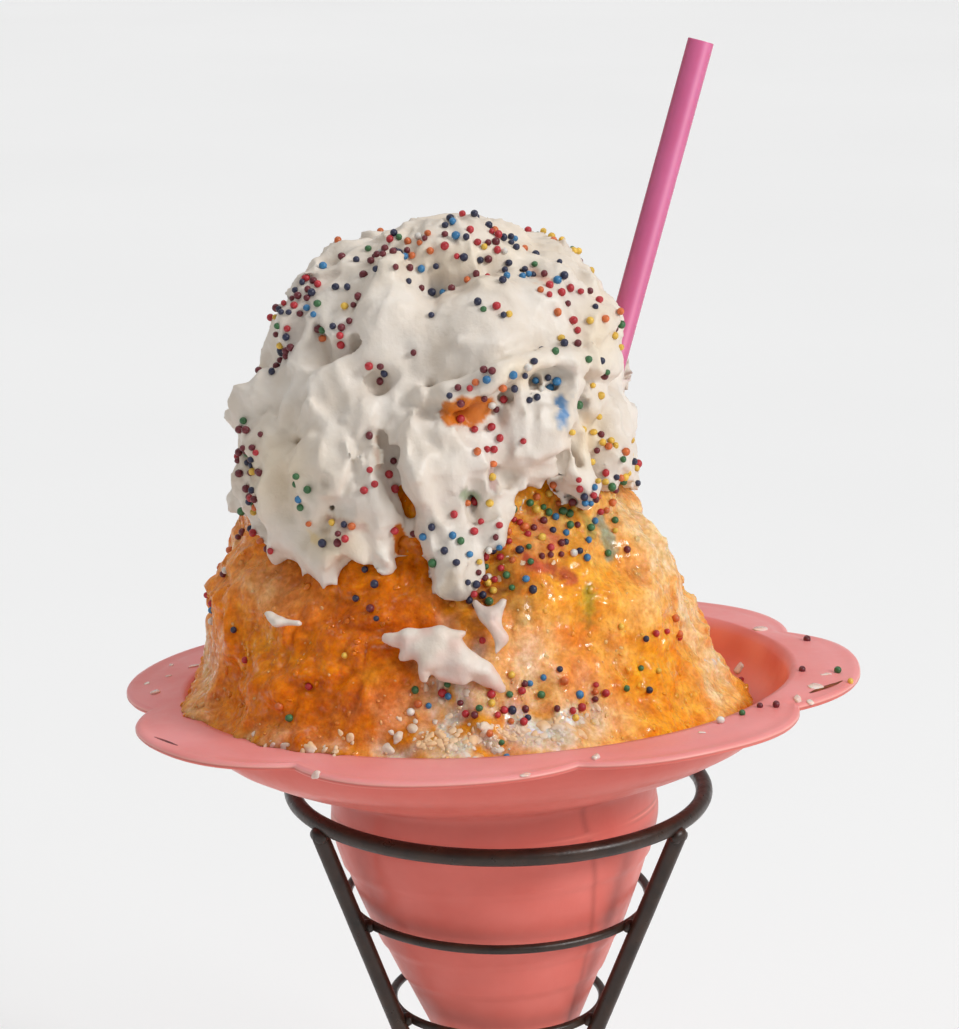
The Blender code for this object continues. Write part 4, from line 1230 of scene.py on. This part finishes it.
def cup_mesh():
    """Outer side up to the petals' edge, over it, and down the inner side."""
    profile = resample(round_corners(CUP_PROFILE), OUTER_STEP)
    steps = sum(smooth_step(-0.35, 0.35, profile[:, 1] - ledge) - 0.5 for ledge in LEDGES)
    profile[:, 0] += LEDGE_STEP * steps * smooth_step(-24.0, -30.0, profile[:, 1])
    inner = resample(round_corners(inset_profile(WALL)), INNER_STEP)
    azimuth, outline = petal_outline(np.arange(CUP_COLUMNS) / CUP_COLUMNS)
    wave = 0.14 * np.sin(azimuth * 5.0 + 1.0) + 0.1 * np.sin(azimuth * 11.0)
    rows = [*profile, *flange_rows(outline, wave)]
    rows += [(radius, min(height, 0.3)) for radius, height in inner[::-1][1:]]
    radius, height = (np.stack([np.broadcast_to(row[part], CUP_COLUMNS) for row in rows])[..., None]
                      for part in (0, 1))
    points = (radius * level(azimuth) + height * UP).reshape(-1, 3)
    return close_grid(points, CUP_COLUMNS, (0.0, 0.0, CUP_PROFILE[0][1]), (0.0, 0.0, inner[0][1]))


def petal_spot(cup_tree, x, y):
    """Place and normal straight below a point over the petals."""
    spot, normal, _, _ = cup_tree.ray_cast(Vector((x, y, ABOVE_PETALS)), Vector((0.0, 0.0, -1.0)))
    return np.array(spot), np.array(normal)


def build_drops(cup_tree):
    shape, faces = ball(3)
    random = np.random.default_rng(SEED + 4)
    shapes = []
    for x, y, half in PETAL_DROPS:
        spot, normal = petal_spot(cup_tree, x, y)
        shapes.append((spot + lump(shape, spot, normal, half, 0.4, random), faces))
    make_piece("petal_drops", *join(shapes), drop_material(), "whipped_cream")


def build_slits(cup_tree):
    share = np.linspace(0.02, 0.98, SLIT_POINTS)
    for name, first, last, half, colour in SLITS:
        line = np.array(first) + share[:, None] * (np.array(last) - np.array(first))
        path = np.array([petal_spot(cup_tree, x, y)[0] for x, y in line])
        # Each slit is a thin flat strip on the petal, painted as the shade in it.
        points, faces = tube(path, half * np.sqrt(np.sin(share * math.pi)), SLIT_SIDES, round_ends=False)
        height = np.repeat(path[:, 2], SLIT_SIDES)
        points[:, 2] = height + SLIT_FLATNESS * (points[:, 2] - height)
        make_piece(name, points, faces, slit_shade_material(name, colour), "pink_plastic")


# --- Straw ---
def straw_ends():
    """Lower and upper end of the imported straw's axis and its radius, in the cup's frame."""
    points = to_cup([vertex.co for vertex in frame["nodes"]["straw"].data.vertices])
    upper = points[:, 2] > points[:, 2].mean()
    low, high = points[~upper].mean(0), points[upper].mean(0)
    axis = (high - low) / np.linalg.norm(high - low)
    radius = np.linalg.norm(np.cross(points - low, axis), axis=1).max()
    return low, high, axis, radius


def straw_rows(radius, length):
    """Reach and step along the axis: up outside, over the lip, down inside, under the lip."""
    lip = STRAW_WALL / 2.0
    steps = np.linspace(lip, length - lip, STRAW_STEPS)
    lips = []
    for middle, first in ((length - lip, 0.0), (lip, math.pi)):
        turns = np.linspace(first + LIP_TURN, first + math.pi - LIP_TURN, 5)
        lips.append([(radius - lip + lip * math.cos(turn), middle + lip * math.sin(turn))
                     for turn in turns])
    outer = [(radius, step) for step in steps]
    inner = [(radius - STRAW_WALL, step) for step in steps[::-1]]
    return outer + lips[0] + inner + lips[1]


def build_straw():
    """A thin tube with softly rounded lips, open at both ends."""
    low, high, axis, radius = straw_ends()
    side = np.cross(axis, (0.0, 1.0, 0.0))
    side /= np.linalg.norm(side)
    turn = (np.arange(STRAW_SIDES) * 2.0 * math.pi / STRAW_SIDES)[:, None]
    ring = np.cos(turn) * side + np.sin(turn) * np.cross(axis, side)
    rows = straw_rows(radius, np.linalg.norm(high - low))
    points = np.concatenate([low + axis * step + ring * reach for reach, step in rows])
    # The straw carries painted highlight and shade bands along its length.
    make_piece("straw_tube", points, grid_faces(len(rows), STRAW_SIDES, wrap=True), straw_material(),
               "straw_plastic", ["straw"], ("sheen_and_shade", straw_colour(points, low, axis)))


# --- Stand ---
def ring_size(node):
    """Centre, radius of the centre line and wire radius of a packed ring, in metres."""
    low, high = (np.array(corner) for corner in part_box(node))
    wire = (high[2] - low[2]) / 2.0
    return (low + high) / 2.0, (high[0] - low[0]) / 2.0 - wire, wire


def bezier(a, b, c, d, count):
    t = np.linspace(0.0, 1.0, count)[:, None]
    return a * (1 - t) ** 3 + 3 * b * t * (1 - t) ** 2 + 3 * c * t * t * (1 - t) + d * t ** 3


def leg_profile():
    """Radius and height below the top ring along a leg, from its top down."""
    base_centre, base_radius, _ = ring_size("stand_base_ring")
    down = np.array((-CONE_SLOPE, -1.0)) / math.hypot(CONE_SLOPE, 1.0)
    start = np.array((LEG_TOP_RADIUS, 0.0))
    knee = start + down * (KNEE_DROP / -down[1])
    waist = np.array((WAIST_RADIUS, -WAIST_DROP))
    above = np.array((0.0, KNEE_PULL))
    inwards = np.array(FOOT_INWARDS)
    foot = np.array((base_radius, base_centre[2] - ring_centre()[2])) / MM + inwards * LEG_WIRE
    straight = np.linspace(start + down * 2.0, knee, LEG_POINTS[0])
    upper = bezier(knee, knee + down * KNEE_PULL, waist + above, waist, LEG_POINTS[1])
    lower = bezier(waist, waist - above, foot + inwards * FOOT_PULL, foot, LEG_POINTS[2])
    return np.concatenate([straight, upper[1:], lower[1:]])


def make_wire(name, path, radius, seed, material, closed=False):
    """A smooth wire, unevenly coated, in place of the faceted one."""
    coat = radius * (0.985 + 0.015 * noise(path / MM, 7.0, seed))
    make_piece("wire_" + name, *tube(path, coat, WIRE_SIDES, closed), material, "coated_wire",
               ["stand_" + name], world=True)


def build_stand(material):
    turn = np.linspace(0.0, 2.0 * math.pi, RING_STEPS, endpoint=False)
    for name, *_ in WELDS:
        centre, radius, wire = ring_size("stand_" + name)
        make_wire(name, centre + radius * level(turn), wire, 70, material, closed=True)
    profile = leg_profile() * MM
    for number, azimuth in enumerate(LEG_AZIMUTHS, start=1):
        path = ring_centre() + profile[:, :1] * level(math.radians(azimuth)) + profile[:, 1:] * UP
        make_wire(f"leg_{number}", path, LEG_WIRE * MM, 71 + number, material)
    build_welds(material)


def build_welds(material):
    """A bead of weld where each leg meets a ring."""
    ball_points, faces = round_lump(16, 10)
    beads = []
    for name, size, out, lift in WELDS:
        centre, radius, wire = ring_size("stand_" + name)
        for number, azimuth in enumerate(LEG_AZIMUTHS):
            outward = level(math.radians(azimuth))
            along = np.array((-outward[1], outward[0], 0.0))
            place = centre + outward * (radius + (wire + out * MM)) + UP * lift * wire
            jitter = 1.0 + 0.12 * noise(ball_points * 2.0 + number * 3.0, 1.0, 80)
            axes = np.array((along, outward, UP)) * np.array(WELD_SHAPE)[:, None]
            beads.append((place + (ball_points * jitter[:, None]) @ axes * size * MM, faces))
    make_piece("wire_welds", *join(beads), material, "coated_wire", world=True)


def round_lump(columns, rows):
    """A unit ball as a grid of quads closed by small rings."""
    polar, turn = np.meshgrid(np.linspace(0.02, math.pi - 0.02, rows),
                              np.arange(columns) * 2.0 * math.pi / columns, indexing="ij")
    points = np.sin(polar)[..., None] * level(turn) - np.cos(polar)[..., None] * UP
    return points.reshape(-1, 3), grid_faces(rows, columns)


# --- Sprinkles ---
def sprinkle_clusters(random):
    """The clusters in front, then scattered ones over the sides and back."""
    clusters = list(CLUSTERS)
    for _ in range(BACK_CLUSTERS):
        azimuth = random.uniform(*BACK_AZIMUTHS)
        elevation = random.uniform(*BACK_ELEVATIONS)
        mixture = random.choice(BACK_MIXES)
        count = int(random.integers(*BACK_COUNTS))
        clusters.append((azimuth, elevation, *BACK_SPREAD, count, mixture))
    return clusters


def scatter_sprinkles(tree, cup_tree):
    """Centre, radius and colour number of every sprinkle; none overlaps another."""
    random = np.random.default_rng(SEED)
    placed = []

    def put(spot, normal, colour):
        radius = random.uniform(*SPRINKLE_RADIUS)
        centre = np.array(spot) + np.array(normal) * radius * random.uniform(*SPRINKLE_LIFT)
        for other, other_radius, _ in placed:
            if np.linalg.norm(centre - other) < SPRINKLE_APART * (radius + other_radius):
                return
        placed.append((centre, radius, colour))

    for azimuth, elevation, wide, high, count, mixture in sprinkle_clusters(random):
        chances = np.array(MIXES[mixture], float)
        for _ in range(count):
            turn = math.radians(azimuth + wide * random.normal() * SCATTER)
            rise = math.radians(elevation + high * random.normal() * SCATTER)
            out = level(turn) * math.cos(rise) + UP * math.sin(rise)
            spot, normal, _, _ = tree.ray_cast(Vector(np.array(CREAM_CORE) + out * FAR), Vector(-out))
            colour = int(random.choice(len(chances), p=chances / chances.sum()))
            if spot is not None:
                put(spot, normal, colour)
    for x, y, colour in PETAL_SPRINKLES:
        put(*petal_spot(cup_tree, x, y), colour)
    return placed


def build_sprinkles(placed):
    points, faces = ball(2)
    random = np.random.default_rng(SEED + 1)
    for number, (name, colour) in enumerate(SPRINKLE_COLOURS):
        shapes = [(centre + points * random.uniform(0.9, 1.05, 3) * radius, faces)
                  for centre, radius, which in placed if which == number]
        make_piece("sprinkles_" + name, *join(shapes), sprinkle_material(name, colour), "whipped_cream")


# --- Studio ---
def add_light(name, kind, power, place, towards, **settings):
    """A lamp at a place, shining from the direction towards."""
    lamp = bpy.data.lights.new(name, kind)
    lamp.energy = power
    for key, value in settings.items():
        setattr(lamp, key, value)
    light = add_object(name, lamp)
    light.location = place
    light.rotation_euler = Vector(towards).to_track_quat("Z", "Y").to_euler()


def build_studio():
    """A pale floor, an even sky, two broad suns and a strip that draws thin highlights."""
    half = FLOOR_SIZE / 2.0
    mesh = bpy.data.meshes.new("floor")
    corners = [(-half, -half, 0.0), (half, -half, 0.0), (half, half, 0.0), (-half, half, 0.0)]
    mesh.from_pydata(corners, [], [(0, 1, 2, 3)])
    mesh.materials.append(floor_material())
    add_object("floor", mesh)
    world = bpy.data.worlds.new("studio")
    world.use_nodes = True
    sky = world.node_tree.nodes["Background"]
    sky.inputs["Color"].default_value = (1.0, 1.0, 1.0, 1.0)
    sky.inputs["Strength"].default_value = SKY_STRENGTH
    bpy.context.scene.world = world
    for name, towards, spread, power in SUNS:
        add_light(name, "SUN", power, towards, towards, angle=math.radians(spread))
    add_light("strip", "AREA", STRIP_POWER, Vector(rim_centre()) + Vector(STRIP_PLACE), STRIP_PLACE,
              shape="RECTANGLE", size=STRIP_SIZE[0], size_y=STRIP_SIZE[1])
    bpy.context.scene.view_settings.view_transform = "Standard"


def add_camera():
    lens = bpy.data.cameras.new("camera")
    lens.lens = CAMERA_LENS
    lens.sensor_width = SENSOR_WIDTH
    lens.clip_start = 0.01
    camera = add_object("camera", lens)
    target = Vector(ring_centre() + np.array(RING_TO_TARGET) * MM)
    back = Vector((0.0, -math.cos(CAMERA_ELEVATION), math.sin(CAMERA_ELEVATION)))
    camera.location = target + back * CAMERA_DISTANCE * MM
    camera.rotation_euler = (target - camera.location).to_track_quat("-Z", "Y").to_euler()
    bpy.context.scene.camera = camera


# --- Dessert ---
def build_dessert():
    cream = cream_material()
    cream_points, cream_faces = cream_mesh()
    make_piece("cream_folds", cream_points, cream_faces, cream, "whipped_cream", ["whipped_cream"],
               ("tint", cream_tint(cream_points)))
    build_smears(cream)
    ice_points, ice_quads, ice_faces = ice_mesh()
    make_piece("ice_heap", ice_points, ice_faces, ice_material(), "syrup_ice", ["shaved_ice"],
               ("syrup", ice_colour(ice_points)))
    build_crystals(ice_points, ice_quads, crystal_material())
    cup_points, cup_quads, cup_faces = cup_mesh()
    make_piece("cup_shell", cup_points, cup_faces, plastic_material(), "pink_plastic",
               ["flower_cup"], ("wet_and_sheen", cup_colour(cup_points, cup_quads)))
    build_straw()
    build_stand(wire_material())
    cup_tree = tree_of(cup_points, cup_quads)
    build_drops(cup_tree)
    build_slits(cup_tree)
    build_cream_bits(tree_of(ice_points, ice_quads), cream)
    contents = join([(cream_points, cream_faces), (ice_points, ice_quads)])
    build_sprinkles(scatter_sprinkles(tree_of(*contents), cup_tree))


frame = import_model()
heap_table = heap_map()
cream_table = cream_map()
add_camera()
build_studio()
build_dessert()
